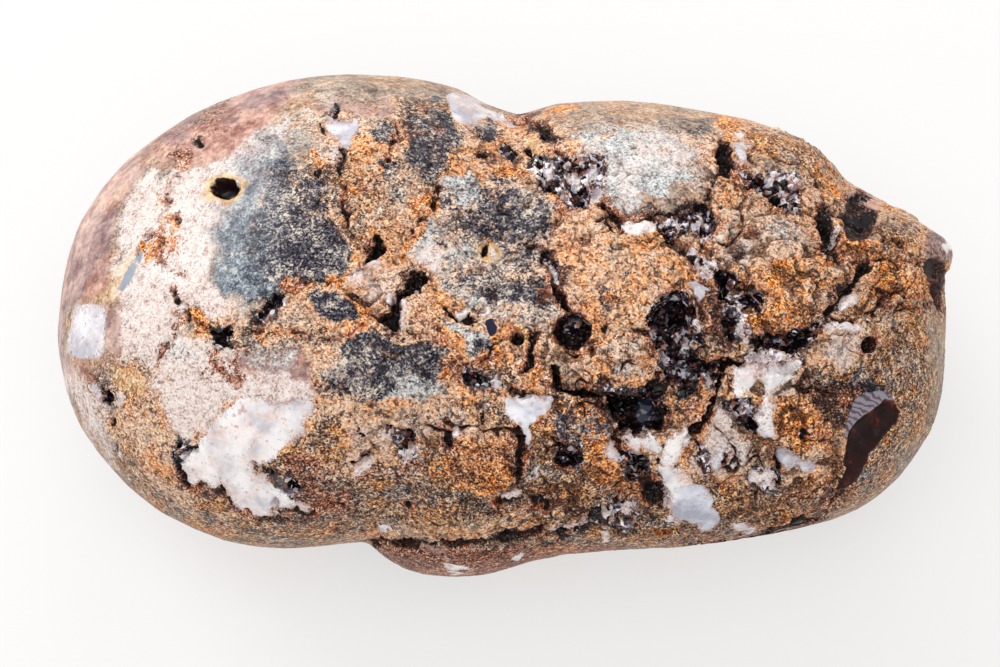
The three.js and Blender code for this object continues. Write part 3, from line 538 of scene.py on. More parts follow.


# ---------------------------------------------------------------- mineral patches
# Soft patches are painted in order over an ochre ground: (mineral, strength, edge width, shape). The umber patches are
# no mineral: they are dark brown painted shade.
MINERALS = ["gold", "mauve", "pale", "tan", "grey", "dark", "slate", "rust", "orange", "umber_shade"]
PAINT = [
    # left lobe: the dusty rim, the pale middle, the grey sheen and the dark speckled shoulder; the pale middle and the
    # grey sheen are partly the minerals' own colour and partly painted highlight and sheen
    ("tan", 0.9, 24, P_((30, 60), (300, 60), (300, 130), (262, 150), (230, 300), (190, 330), (150, 372), (60, 400), (30, 420))),
    ("tan", 0.8, 26, P_((270, 60), (560, 60), (560, 120), (440, 112), (330, 108), (280, 110))),
    ("mauve", 1.0, 16, P_((40, 420), (40, 40), (300, 40), (300, 84), (276, 118), (262, 140), (238, 151), (206, 166), (178, 166), (150, 168), (128, 196), (118, 236), (110, 290), (64, 306), (64, 365), (116, 362), (108, 380), (72, 392))),
    ("tan", 0.6, 18, P_((112, 236), (124, 190), (150, 166), (172, 170), (168, 200), (152, 232), (140, 262), (116, 290))),
    ("pale", 0.8, 14, P_((118, 236), (128, 196), (150, 172), (180, 168), (172, 200), (160, 232), (150, 262), (130, 290), (112, 300))),
    ("pale", 1.0, 12, P_((166, 236), (172, 196), (178, 172), (190, 168), (150, 172), (180, 168), (206, 168), (240, 152), (262, 142), (268, 160), (262, 190), (240, 205), (218, 222), (206, 252), (204, 285), (222, 304), (205, 318), (178, 312), (150, 300), (120, 290))),
    ("pale", 0.95, 12, P_((116, 310), (140, 288), (165, 276), (176, 292), (172, 314), (180, 326), (165, 345), (158, 362), (140, 368), (122, 366), (112, 345))),
    ("grey", 0.5, 24, P_((262, 150), (290, 130), (312, 136), (306, 190), (296, 232), (270, 240), (252, 232), (256, 190))),
    ("gold", 0.14, 26, P_((262, 150), (290, 130), (320, 132), (326, 175), (340, 190), (340, 230), (340, 262), (320, 280), (290, 286), (262, 306), (250, 306), (252, 250), (262, 215))),
    ("dark", 0.5, 26, P_((250, 150), (290, 130), (330, 140), (330, 175), (345, 190), (345, 235), (352, 262), (330, 278), (290, 284), (268, 300), (250, 306), (248, 250), (262, 215))),
    ("dark", 0.8, 12, P_((276, 236), (300, 226), (340, 232), (350, 246), (338, 270), (300, 282), (280, 284), (270, 262))),
    ("slate", 0.97, 26, P_((264, 142), (286, 128), (292, 142), (282, 164), (266, 190), (258, 215), (258, 238), (266, 262), (270, 286), (258, 308), (238, 312), (216, 298), (208, 276), (218, 250), (214, 232), (226, 212), (244, 192), (252, 166))),
    ("slate", 0.62, 24, P_((258, 150), (284, 142), (300, 150), (300, 188), (288, 226), (266, 236), (256, 200))),
    ("dark", 0.42, 26, P_((262, 164), (286, 158), (302, 168), (300, 204), (288, 236), (266, 246), (258, 214))),
    ("slate", 0.5, 18, P_((250, 216), (284, 214), (296, 290), (266, 304), (250, 290))),
    ("dark", 0.46, 22, P_((254, 216), (300, 214), (304, 284), (276, 304), (256, 296))),
    ("pale", 0.46, 26, P_((214, 214), (226, 170), (240, 146), (266, 128), (290, 130), (276, 160), (258, 198), (240, 226), (220, 244))),
    ("pale", 0.75, 16, P_((240, 146), (262, 132), (290, 122), (298, 132), (284, 140), (262, 150), (250, 164))),
    ("gold", 0.35, 12, P_((222, 252), (256, 253), (254, 260), (222, 260))),
    ("ochre", 0.55, 12, P_((318, 160), (348, 170), (350, 230), (330, 226), (322, 196))),
    ("pale", 0.8, 14, P_((166, 262), (205, 255), (212, 290), (222, 306), (200, 314), (172, 300))),
    ("rust", 0.36, 14, P_((142, 230), (182, 228), (190, 262), (178, 290), (162, 276), (148, 256))),
    # dark brown painted shade over the top-left rim, where the light falls brightest
    ("umber_shade", 0.14, 26, P_((118, 150), (150, 124), (236, 98), (262, 104), (240, 140), (190, 150), (140, 168))),
    ("rust", 0.22, 16, P_((170, 150), (204, 142), (240, 128), (262, 116), (270, 126), (240, 146), (204, 160), (178, 164))),
    ("rust", 0.55, 10, E(178, 160, 14, 12, 0)),
    ("dark", 0.45, 12, E(154, 164, 14, 10, 30)),
    ("rust", 0.45, 14, E(245, 122, 24, 12, -20)),
    ("mauve", 0.8, 14, E(165, 135, 24, 12, -32)),
    ("tan", 0.5, 14, E(206, 114, 20, 10, -22)),
    ("mauve", 0.9, 10, E(238, 124, 22, 10, -18)),
    ("rust", 0.5, 10, E(112, 250, 10, 16, 15)),
    ("orange", 0.12, 10, E(104, 292, 12, 8, -20)),
    ("mauve", 0.85, 8, P_((106, 312), (116, 306), (120, 340), (116, 366), (104, 364))),
    ("dark", 0.4, 8, E(121, 228, 5, 12, 10)),
    # the belt under the left lobe; its lower flank is painted darker as painted shade
    ("gold", 0.7, 22, P_((60, 392), (112, 362), (160, 362), (178, 400), (180, 480), (240, 515), (330, 520), (420, 530), (520, 535), (520, 620), (40, 620))),
    ("pale", 0.55, 16, P_((56, 365), (100, 385), (112, 420), (118, 470), (150, 520), (90, 520), (40, 420))),
    ("tan", 0.4, 16, P_((66, 380), (100, 446), (146, 508), (226, 546), (360, 560), (360, 580), (200, 580), (60, 490))),
    ("dark", 0.26, 14, P_((142, 415), (172, 420), (178, 446), (176, 480), (186, 500), (170, 520), (150, 500), (138, 470), (140, 440))),
    ("dark", 0.2, 14, E(132, 430, 12, 20, 0)),
    ("ochre", 0.42, 16, P_((112, 366), (162, 362), (176, 376), (166, 420), (180, 470), (196, 500), (170, 500), (140, 470), (118, 420))),
    ("dark", 0.5, 16, P_((190, 505), (240, 525), (300, 530), (360, 525), (360, 548), (280, 545), (210, 528))),
    ("rust", 0.6, 12, P_((164, 430), (182, 438), (188, 446), (182, 456), (178, 480), (186, 492), (210, 500), (206, 508), (180, 496), (170, 470))),
    ("gold", 0.3, 14, P_((112, 362), (160, 360), (178, 370), (150, 400), (126, 410), (112, 396))),
    ("pale", 1.0, 12, P_((160, 384), (180, 372), (200, 362), (216, 372), (236, 388), (222, 410), (206, 430), (192, 442), (178, 440), (170, 426), (163, 408))),
    ("pale", 0.75, 18, P_((184, 298), (236, 304), (246, 322), (210, 320), (188, 314))),
    ("tan", 0.45, 20, P_((232, 300), (310, 290), (350, 316), (350, 332), (236, 332))),
    ("grey", 0.34, 20, P_((236, 300), (300, 292), (316, 324), (262, 332), (236, 328))),
    ("dark", 0.36, 22, P_((240, 300), (300, 296), (340, 320), (330, 332), (250, 332))),
    ("pale", 0.8, 14, P_((160, 338), (200, 330), (240, 340), (262, 352), (262, 396), (220, 390), (190, 384), (160, 376))),
    ("mauve", 0.85, 14, P_((240, 340), (296, 344), (312, 360), (308, 400), (290, 404), (250, 396), (238, 372))),
    ("grey", 0.5, 16, P_((172, 342), (200, 336), (240, 342), (290, 344), (300, 370), (250, 388), (220, 372), (190, 370), (168, 360))),
    ("pale", 0.55, 12, P_((200, 350), (230, 352), (250, 380), (240, 392), (210, 380))),
    ("grey", 0.4, 14, E(268, 350, 30, 12, 5)),
    ("pale", 0.6, 14, E(278, 388, 26, 14, 10)),
    ("dark", 0.35, 12, P_((306, 360), (334, 366), (336, 404), (312, 410), (304, 392))),
    ("rust", 0.30, 12, E(232, 362, 12, 24, -20)),
    ("dark", 0.2, 24, P_((236, 340), (312, 344), (316, 398), (250, 396))),
    ("rust", 0.35, 12, E(196, 362, 24, 12, 20)),
    # top and middle
    ("mauve", 0.7, 12, P_((296, 104), (330, 100), (400, 104), (410, 116), (360, 118), (320, 116))),
    ("slate", 0.28, 22, P_((288, 138), (318, 122), (326, 138), (304, 172), (290, 176))),
    ("tan", 0.4, 20, P_((288, 134), (322, 116), (330, 140), (306, 176), (290, 176))),
    ("grey", 0.6, 12, E(372, 118, 16, 8, -12)),
    ("dark", 0.9, 10, E(384, 130, 14, 13, 0)),
    ("rust", 0.75, 12, P_((316, 146), (346, 146), (350, 176), (342, 196), (324, 186), (314, 166))),
    ("pale", 0.7, 8, E(332, 152, 7, 8, 10)),
    ("gold", 0.7, 16, P_((398, 104), (446, 100), (462, 118), (472, 132), (462, 152), (446, 180), (420, 186), (398, 170), (394, 140))),
    ("umber_shade", 0.5, 10, E(428, 140, 24, 30, 0)),
    ("umber_shade", 0.3, 12, P_((400, 112), (440, 106), (470, 128), (452, 170), (425, 180), (402, 160))),
    ("dark", 0.95, 12, P_((408, 118), (440, 108), (456, 120), (466, 131), (456, 146), (452, 160), (440, 171), (430, 178), (415, 173), (404, 160), (401, 148), (408, 135), (411, 122))),
    ("rust", 0.5, 8, E(432, 104, 14, 5, 0)),
    ("dark", 0.8, 10, E(388, 168, 12, 11, 20)),
    ("dark", 0.7, 10, P_((298, 186), (330, 186), (335, 202), (318, 214), (300, 214), (290, 206))),
    ("dark", 0.5, 10, P_((286, 208), (318, 214), (330, 226), (322, 236), (292, 228))),
    ("dark", 0.6, 10, E(388, 205, 24, 12, -14)),
    ("dark", 0.7, 8, E(397, 188, 10, 9, 0)),
    ("rust", 0.45, 10, E(345, 212, 8, 26, 5)),
    ("pale", 0.7, 8, E(352, 212, 4, 20, 5)),
    ("dark", 0.7, 12, P_((470, 118), (496, 117), (501, 135), (490, 142), (476, 134))),
    ("rust", 0.5, 10, E(470, 142, 12, 8, 0)),
    ("rust", 0.6, 10, E(486, 156, 13, 7, 0)),
    ("grey", 0.55, 16, P_((440, 176), (500, 178), (556, 196), (560, 220), (556, 250), (566, 300), (560, 330), (520, 326), (480, 318), (440, 290), (428, 266), (414, 256), (430, 218))),
    ("dark", 0.62, 22, P_((482, 176), (502, 178), (540, 190), (560, 206), (560, 232), (540, 240), (520, 235), (498, 226), (484, 206), (476, 190))),
    ("dark", 0.6, 18, P_((444, 196), (474, 200), (480, 226), (462, 236), (444, 226), (438, 214))),
    ("dark", 0.55, 16, E(478, 234, 15, 12, 0)),
    ("dark", 0.58, 22, P_((500, 240), (540, 240), (552, 262), (558, 300), (552, 326), (530, 322), (520, 300), (505, 276))),
    ("dark", 0.4, 10, E(470, 282, 26, 14, 10)),
    ("dark", 0.5, 10, E(500, 290, 20, 16, 0)),
    ("dark", 0.4, 18, E(434, 238, 20, 20, 0)),
    ("dark", 0.5, 16, E(512, 224, 24, 18, 0)),
    ("grey", 0.3, 20, P_((345, 170), (400, 170), (400, 232), (345, 232))),
    ("grey", 0.95, 6, P_((446, 176), (466, 172), (480, 180), (481, 194), (468, 202), (452, 196))),
    ("slate", 0.5, 8, E(474, 188, 7, 8, 0)),
    ("pale", 0.55, 10, P_((410, 252), (424, 240), (440, 250), (440, 278), (424, 274), (412, 264))),
    ("dark", 0.95, 9, P_((284, 228), (318, 224), (346, 234), (352, 248), (342, 262), (326, 276), (300, 280), (288, 268))),
    ("dark", 0.95, 8, P_((310, 292), (336, 290), (352, 300), (356, 312), (344, 320), (322, 318), (312, 308))),
    ("mauve", 0.5, 8, E(366, 274, 18, 9, -25)),
    ("pale", 0.42, 8, P_((346, 278), (366, 264), (392, 264), (408, 268), (412, 278), (404, 290), (390, 300), (378, 312), (362, 302), (348, 292))),
    ("rust", 0.55, 10, E(352, 292, 10, 6, 45)),
    ("rust", 0.5, 10, P_((284, 278), (345, 276), (345, 286), (284, 290))),
    ("rust", 0.35, 8, P_((240, 330), (300, 326), (362, 332), (350, 340), (300, 340), (240, 338))),
    ("dark", 0.9, 12, P_((336, 340), (360, 334), (384, 334), (410, 342), (440, 344), (446, 360), (442, 376), (444, 386), (432, 396), (408, 404), (380, 401), (350, 398), (330, 388), (318, 378), (330, 362))),
    ("grey", 0.34, 16, P_((318, 352), (348, 356), (350, 370), (340, 382), (318, 376))),
    ("grey", 0.6, 14, E(418, 390, 36, 14, 0)),
    ("ochre", 0.35, 18, P_((352, 404), (450, 394), (500, 398), (500, 446), (420, 446), (352, 430))),
    ("grey", 0.3, 16, E(392, 362, 30, 12, 10)),
    ("mauve", 0.3, 14, E(352, 372, 18, 8, 30)),
    ("pale", 0.7, 18, P_((226, 384), (250, 376), (296, 380), (316, 396), (308, 408), (262, 402), (230, 402))),
    ("dark", 0.35, 14, P_((268, 462), (330, 466), (350, 500), (300, 508), (276, 496))),
    ("umber_shade", 0.3, 14, P_((262, 462), (300, 470), (340, 500), (320, 520), (280, 500))),
    ("grey", 0.6, 8, E(420, 240, 10, 22, 25)),
    ("orange", 0.5, 8, P_((478, 246), (486, 238), (500, 242), (505, 258), (494, 266), (480, 260))),
    ("rust", 0.6, 6, E(530, 246, 9, 7, 0)),
    ("grey", 0.7, 8, P_((440, 320), (460, 322), (480, 330), (494, 344), (480, 356), (466, 350), (450, 336))),
    ("dark", 0.6, 8, E(482, 346, 11, 9, 0)),
    ("dark", 0.4, 10, E(520, 352, 12, 10, 0)),
    ("rust", 0.6, 8, E(454, 352, 7, 16, 0)),
    ("rust", 0.6, 10, P_((446, 362), (500, 366), (510, 392), (470, 392), (448, 384))),
    # lower middle, golden and rusty
    ("gold", 0.95, 24, P_((250, 470), (300, 440), (330, 410), (400, 412), (460, 400), (520, 400), (520, 440), (560, 395), (620, 440), (700, 480), (820, 480), (860, 500), (860, 560), (640, 560), (520, 545), (360, 540), (240, 520))),
    ("dark", 0.28, 16, P_((318, 420), (356, 424), (362, 450), (340, 470), (312, 462), (310, 440))),
    ("rust", 0.75, 14, P_((280, 450), (330, 458), (370, 470), (330, 486), (286, 488))),
    ("ochre", 0.22, 14, P_((300, 430), (400, 424), (430, 440), (410, 490), (330, 486), (300, 460))),
    ("rust", 0.34, 16, P_((386, 420), (450, 412), (516, 418), (516, 446), (470, 440), (410, 436))),
    ("rust", 0.5, 14, E(400, 470, 40, 12, 0)),
    ("dark", 0.25, 14, E(470, 405, 34, 10, 0)),
    ("dark", 0.5, 14, P_((300, 486), (430, 486), (500, 488), (500, 500), (380, 506), (300, 500))),
    ("rust", 0.5, 12, E(340, 505, 30, 8, 6)),
    ("tan", 0.5, 12, P_((390, 520), (460, 516), (520, 520), (540, 530), (500, 540), (400, 542))),
    ("dark", 0.4, 14, E(490, 508, 36, 10, 0)),
    ("dark", 0.7, 10, E(568, 456, 16, 13, 0)),
    ("dark", 0.5, 12, E(590, 420, 14, 18, -30)),
    ("rust", 0.5, 12, E(625, 470, 20, 12, 10)),
    ("dark", 0.6, 10, P_((500, 448), (550, 462), (560, 480), (530, 484), (500, 478))),
    ("rust", 0.6, 12, P_((500, 462), (520, 446), (530, 470), (520, 500), (500, 490))),
    ("umber_shade", 0.6, 8, P_((376, 548), (400, 552), (440, 556), (436, 566), (400, 564), (384, 556))),
    ("rust", 1.0, 8, P_((376, 551), (392, 549), (480, 550), (560, 543), (620, 547), (640, 556), (500, 580), (400, 575))),
    ("mauve", 0.7, 6, P_((420, 547), (456, 546), (456, 556), (436, 562), (424, 556))),
    ("gold", 0.4, 8, E(478, 560, 30, 8, -3)),
    ("orange", 0.55, 10, E(500, 556, 90, 9, -4)),
    ("umber_shade", 0.45, 10, P_((376, 546), (420, 548), (430, 566), (410, 572), (388, 562))),
    ("umber_shade", 0.45, 9, P_((484, 548), (540, 540), (560, 546), (520, 556), (490, 560))),
    # right lobe
    ("tan", 0.75, 20, P_((560, 96), (720, 96), (720, 140), (690, 140), (640, 130), (570, 140))),
    # partly painted highlight: these grey and pale patches hold the bright sheen on the right lobe's top
    ("grey", 0.55, 30, P_((566, 122), (620, 118), (680, 126), (712, 146), (714, 184), (700, 194), (660, 206), (632, 216), (612, 206), (598, 192), (602, 164), (578, 160), (564, 146))),
    ("grey", 0.9, 22, P_((586, 142), (620, 136), (656, 140), (676, 156), (684, 180), (660, 202), (632, 214), (616, 204), (600, 192), (604, 164), (590, 158))),
    ("pale", 0.6, 16, P_((608, 172), (626, 160), (640, 150), (652, 160), (640, 180), (640, 200), (630, 212), (614, 200))),
    ("pale", 0.45, 12, E(660, 155, 40, 18, 0)),
    ("tan", 0.7, 8, P_((640, 200), (690, 186), (700, 196), (650, 214))),
    ("dark", 0.6, 12, P_((660, 118), (716, 120), (716, 140), (690, 142), (664, 134))),
    ("rust", 0.95, 6, P_((714, 114), (722, 118), (738, 124), (744, 134), (732, 139), (722, 132))),
    ("rust", 0.6, 8, E(752, 136, 9, 8, 0)),
    ("pale", 0.7, 8, E(742, 150, 8, 12, 0)),
    ("gold", 0.6, 20, P_((740, 110), (860, 160), (850, 190), (790, 178), (750, 150))),
    ("tan", 0.6, 12, P_((742, 150), (780, 150), (790, 172), (750, 172))),
    ("pale", 0.75, 10, P_((772, 166), (794, 170), (804, 190), (800, 210), (786, 204), (774, 190))),
    ("rust", 0.5, 14, E(836, 206, 14, 14, 0)),
    ("mauve", 0.8, 8, P_((846, 182), (866, 190), (880, 202), (876, 216), (862, 212), (850, 204))),
    ("tan", 0.6, 14, P_((876, 200), (912, 218), (916, 250), (880, 250), (876, 226))),
    ("gold", 0.6, 14, E(898, 236, 18, 16, 0)),
    ("rust", 0.85, 12, P_((840, 240), (858, 240), (872, 262), (862, 270), (842, 262))),
    ("gold", 0.4, 14, P_((640, 240), (690, 244), (690, 274), (650, 270))),
    ("dark", 0.35, 12, E(628, 272, 10, 14, 0)),
    ("dark", 0.5, 10, E(612, 302, 14, 16, 0)),
    ("dark", 0.5, 8, E(648, 302, 9, 5, 0)),
    ("grey", 0.35, 14, P_((700, 196), (714, 240), (696, 246), (680, 236))),
    ("dark", 0.3, 12, E(590, 290, 16, 12, 0)),
    ("grey", 0.45, 14, P_((596, 340), (640, 340), (650, 370), (620, 384), (598, 366))),
    ("rust", 0.5, 12, E(652, 372, 8, 18, 0)),
    ("grey", 0.5, 12, P_((752, 216), (790, 214), (802, 236), (796, 260), (770, 262), (752, 240))),
    ("grey", 0.5, 12, E(745, 248, 16, 14, 0)),
    ("ochre", 0.6, 12, P_((708, 182), (742, 184), (752, 212), (742, 240), (722, 240), (722, 206))),
    ("orange", 0.3, 14, P_((664, 236), (700, 244), (716, 262), (700, 270), (672, 256))),
    ("gold", 0.85, 12, P_((700, 296), (716, 300), (722, 330), (716, 352), (704, 356), (698, 330))),
    ("rust", 0.55, 12, P_((716, 286), (740, 290), (740, 340), (722, 352), (716, 330))),
    ("dark", 0.55, 8, P_((818, 290), (850, 284), (846, 300), (828, 307), (812, 302))),
    ("dark", 0.2, 12, P_((764, 284), (810, 286), (812, 310), (780, 312), (764, 300))),
    ("rust", 0.8, 12, P_((864, 272), (900, 264), (926, 280), (934, 306), (900, 306), (862, 296))),
    ("rust", 0.5, 12, E(890, 258, 24, 10, 0)),
    ("rust", 0.7, 14, P_((746, 316), (820, 314), (820, 330), (760, 340), (742, 334))),
    ("gold", 1.0, 20, P_((850, 305), (945, 300), (950, 420), (900, 500), (850, 520), (820, 500), (846, 470), (880, 420), (840, 390), (800, 385), (830, 340))),
    ("rust", 0.3, 20, P_((864, 308), (932, 312), (936, 350), (900, 372), (866, 340))),
    ("dark", 0.34, 18, P_((864, 312), (935, 320), (935, 385), (900, 400), (850, 380), (838, 350))),
    ("tan", 0.6, 18, P_((918, 310), (960, 300), (960, 430), (900, 500), (830, 540), (820, 515), (880, 490), (918, 430), (930, 370))),
    ("pale", 0.5, 12, P_((742, 348), (800, 350), (812, 366), (798, 390), (772, 396), (742, 390))),
    ("grey", 0.6, 12, P_((744, 346), (806, 350), (800, 372), (746, 366))),
    ("dark", 0.85, 12, P_((800, 380), (868, 378), (884, 390), (862, 406), (834, 408), (804, 400))),
    ("rust", 0.75, 14, P_((776, 386), (800, 392), (840, 404), (846, 430), (838, 452), (800, 452), (780, 430))),
    ("gold", 0.5, 14, E(808, 440, 24, 12, 0)),
    ("tan", 0.8, 8, P_((716, 404), (738, 414), (752, 432), (756, 456), (744, 474), (722, 474), (712, 452), (712, 424))),
    ("grey", 0.7, 10, P_((716, 408), (736, 418), (746, 434), (746, 460), (728, 472), (716, 452), (714, 428))),
    ("dark", 0.25, 12, P_((714, 408), (730, 414), (742, 440), (738, 466), (722, 470), (714, 440))),
    ("tan", 0.9, 8, P_((740, 424), (752, 432), (760, 450), (752, 462), (744, 446))),
    ("dark", 0.45, 12, P_((660, 384), (704, 384), (706, 412), (690, 430), (668, 424))),
    ("gold", 0.45, 12, P_((668, 386), (704, 386), (704, 410), (688, 424), (672, 416))),
    ("rust", 0.7, 10, E(692, 404, 10, 14, 20)),
    ("mauve", 0.5, 12, P_((700, 440), (716, 440), (716, 486), (700, 486), (690, 470))),
    ("rust", 0.4, 12, E(706, 474, 14, 12, 0)),
    ("dark", 0.2, 12, P_((744, 462), (782, 452), (784, 486), (754, 492))),
    ("dark", 0.4, 14, P_((780, 480), (826, 484), (820, 508), (786, 506))),
    ("slate", 0.8, 8, P_((846, 484), (858, 476), (868, 478), (862, 488), (850, 494))),
    ("mauve", 0.6, 10, P_((730, 520), (760, 516), (760, 532), (738, 536))),
    ("mauve", 0.95, 8, P_((930, 226), (956, 238), (957, 262), (940, 262), (924, 256), (922, 238))),
    # fresh orange iron stain
    ("orange", 1.0, 14, P_((766, 266), (800, 252), (822, 244), (842, 242), (868, 244), (873, 262), (860, 278), (838, 288), (800, 292), (772, 290))),
    ("orange", 0.85, 10, P_((836, 238), (862, 240), (874, 258), (866, 272), (846, 270), (838, 256))),
    ("orange", 0.7, 10, P_((655, 240), (680, 246), (700, 262), (706, 282), (690, 282), (668, 268), (654, 256))),
    ("orange", 0.8, 12, P_((862, 266), (900, 262), (926, 276), (932, 300), (905, 306), (866, 298))),
    ("orange", 0.85, 6, P_((714, 112), (728, 116), (742, 128), (738, 139), (722, 134))),
    ("orange", 0.9, 12, P_((778, 388), (808, 394), (840, 406), (842, 430), (836, 450), (806, 448), (782, 430))),
    ("orange", 0.3, 8, P_((236, 328), (300, 324), (352, 330), (362, 338), (300, 342), (240, 338))),
    ("orange", 0.9, 14, P_((442, 436), (516, 438), (516, 490), (480, 496), (446, 488))),
    ("orange", 1.0, 10, P_((744, 308), (782, 302), (824, 304), (824, 322), (800, 331), (744, 335))),
    ("orange", 0.8, 6, E(534, 372, 11, 10, 20)),
    ("orange", 0.5, 8, P_((702, 296), (716, 300), (722, 334), (712, 350), (702, 330))),
    ("orange", 0.3, 9, P_((346, 150), (372, 156), (376, 196), (366, 232), (348, 226), (344, 190))),
    ("orange", 0.7, 7, P_((398, 180), (432, 182), (440, 196), (424, 226), (406, 232), (402, 206))),
    ("orange", 0.6, 7, P_((484, 160), (520, 160), (536, 184), (520, 186), (498, 174), (484, 172))),
    ("orange", 0.7, 6, L_(12, (441, 188), (436, 200), (429, 213), (421, 226), (413, 240), (407, 252))),
    ("orange", 0.6, 6, P_((284, 278), (345, 278), (350, 286), (300, 292), (284, 290))),
    ("orange", 0.95, 6, P_((186, 312), (200, 314), (214, 320), (216, 330), (200, 335), (190, 328))),
    ("orange", 0.9, 4, L_(6, (246, 333), (270, 330), (300, 334), (340, 331), (360, 326))),
    ("orange", 0.35, 12, P_((140, 230), (182, 228), (186, 262), (170, 284), (150, 262))),
    ("orange", 1.0, 5, E(685, 456, 9, 12, 20)), ("pale", 0.5, 5, E(693, 466, 5, 9, -20)),
    ("orange", 0.6, 8, E(560, 108, 22, 9, 0)),
    ("orange", 0.34, 12, P_((742, 120), (790, 142), (850, 176), (850, 206), (820, 200), (790, 172), (752, 150))),
    ("orange", 0.55, 12, P_((780, 480), (850, 476), (862, 500), (820, 520), (780, 524))),
    ("orange", 0.45, 14, P_((620, 520), (700, 528), (760, 520), (760, 545), (640, 550))),
    ("orange", 0.8, 12, P_((556, 402), (590, 400), (612, 404), (622, 440), (630, 480), (600, 486), (580, 476), (586, 446), (560, 436))),
    ("dark", 0.5, 12, P_((552, 410), (576, 416), (582, 440), (560, 442))),
    ("orange", 0.5, 10, P_((380, 414), (430, 412), (520, 420), (516, 440), (430, 436), (384, 434))),
    ("orange", 0.5, 8, E(152, 248, 14, 10, -30)),
    ("orange", 0.6, 6, E(160, 212, 8, 22, -8)),
    ("orange", 0.2, 8, E(112, 376, 12, 8, 20)),
    ("rust", 0.95, 3, L_(4.5, (184, 160), (180, 172), (175, 184), (170, 194), (167, 202))),
    ("rust", 1.0, 3, L_(5.0, (167, 202), (162, 214), (159, 228), (157, 246), (160, 262))),
    ("orange", 0.9, 4, E(176, 222, 5, 9, 0)),
    ("orange", 0.8, 4, L_(4, (160, 236), (150, 240), (140, 246))),
    ("rust", 0.8, 4, L_(4, (162, 262), (172, 270), (184, 282))),
    ("rust", 0.8, 4, L_(4, (182, 312), (176, 330), (168, 342), (160, 356))),
    ("rust", 0.7, 4, L_(4, (228, 343), (234, 357), (238, 372), (240, 390))),
    ("rust", 0.7, 4, L_(4, (212, 350), (221, 368), (232, 384))),
    ("rust", 0.5, 8, E(178, 156, 12, 8, 0)),
    ("orange", 0.9, 3, L_(5, (282, 290), (310, 283), (339, 280), (351, 297), (380, 314))),
    ("orange", 0.85, 4, L_(6, (433, 326), (446, 334), (452, 345), (450, 379))),
    ("orange", 0.9, 4, L_(5, (538, 333), (536, 362), (542, 378))),
    ("orange", 0.8, 4, L_(5, (496, 340), (497, 356), (488, 368))),
    ("orange", 0.8, 4, L_(5, (412, 232), (404, 262))),
    ("orange", 0.8, 6, P_((314, 148), (330, 146), (334, 164), (326, 184), (314, 176))),
    ("rust", 0.8, 4, L_(5, (316, 166), (326, 190), (338, 206))),
    ("orange", 0.8, 5, L_(6, (588, 350), (606, 338), (640, 334))),
    ("rust", 0.7, 5, E(664, 378, 8, 12, 0)),
    ("ochre", 0.7, 14, P_((818, 334), (862, 326), (870, 340), (862, 356), (830, 372), (806, 366), (812, 346))),
    ("pale", 0.8, 12, P_((822, 334), (858, 328), (864, 346), (852, 362), (826, 364))),
    ("tan", 0.8, 5, E(876, 346, 5, 10, 0)),
    # painted shade in dark brown beside the cavities and along the crevices, among a few other patches
    ("slate", 0.8, 6, E(432, 99, 13, 4.5, -28)),
    ("umber_shade", 0.35, 12, P_((340, 222), (368, 226), (368, 262), (346, 262))),
    ("umber_shade", 0.3, 14, P_((552, 402), (612, 402), (616, 446), (560, 448))),
    ("umber_shade", 0.35, 16, P_((776, 478), (856, 474), (866, 500), (826, 520), (780, 524))),
    ("umber_shade", 0.35, 16, P_((630, 532), (760, 528), (770, 548), (640, 556))),
    ("umber_shade", 0.48, 16, P_((440, 436), (520, 438), (520, 490), (446, 492))),
    ("umber_shade", 0.7, 8, L_(14, (866, 262), (853, 282), (838, 301), (823, 321))),
    ("umber_shade", 0.6, 10, P_((748, 336), (800, 332), (824, 324), (820, 344), (790, 352), (750, 350))),
    ("umber_shade", 0.25, 10, P_((812, 292), (846, 286), (842, 302), (814, 305))),
    ("umber_shade", 0.7, 10, P_((704, 284), (740, 286), (742, 350), (716, 356))),
    ("umber_shade", 0.7, 8, L_(12, (556, 368), (554, 382), (568, 391), (600, 395), (614, 396))),
    ("umber_shade", 0.5, 8, L_(9, (717, 394), (708, 418), (690, 438))),
    ("umber_shade", 0.7, 10, P_((594, 382), (650, 384), (668, 400), (668, 436), (640, 442), (610, 432))),
    ("umber_shade", 0.8, 10, P_((630, 484), (668, 474), (674, 506), (640, 516), (600, 510))),
    ("umber_shade", 0.7, 8, L_(14, (500, 503), (540, 504), (590, 512), (630, 494), (650, 480))),
    ("umber_shade", 0.4, 8, L_(8, (373, 543), (440, 545), (500, 540), (575, 529), (600, 512), (640, 492))),
    ("umber_shade", 0.75, 10, P_((802, 384), (866, 384), (856, 412), (812, 404))),
    ("umber_shade", 0.7, 8, L_(12, (690, 548), (760, 538), (815, 521), (840, 488))),
    ("umber_shade", 0.6, 8, P_((842, 198), (856, 190), (872, 198), (882, 210), (876, 228), (862, 240), (848, 240))),
    ("mauve", 0.9, 5, P_((850, 196), (868, 193), (882, 201), (876, 208), (858, 205))),
    ("mauve", 0.9, 6, P_((858, 228), (876, 222), (876, 236), (862, 244))),
    ("umber_shade", 0.8, 8, L_(16, (820, 204), (832, 230), (838, 262))),
    ("umber_shade", 0.5, 8, L_(11, (722, 142), (724, 166), (712, 196), (706, 230))),
    ("umber_shade", 0.7, 8, L_(14, (598, 196), (626, 222), (660, 216), (700, 204))),
    ("umber_shade", 0.8, 8, L_(16, (524, 114), (558, 141))),
    ("umber_shade", 0.5, 10, P_((524, 146), (560, 158), (600, 160), (598, 204), (572, 208), (536, 188))),
    ("orange", 0.6, 6, P_((562, 158), (584, 158), (592, 168), (578, 176), (566, 170))),
    ("dark", 0.12, 20, P_((440, 190), (560, 190), (560, 310), (450, 300))),
    ("umber_shade", 0.8, 8, L_(15, (542, 248), (556, 275), (568, 305), (574, 318))),
    ("umber_shade", 0.7, 8, L_(16, (414, 272), (396, 298), (392, 328))),
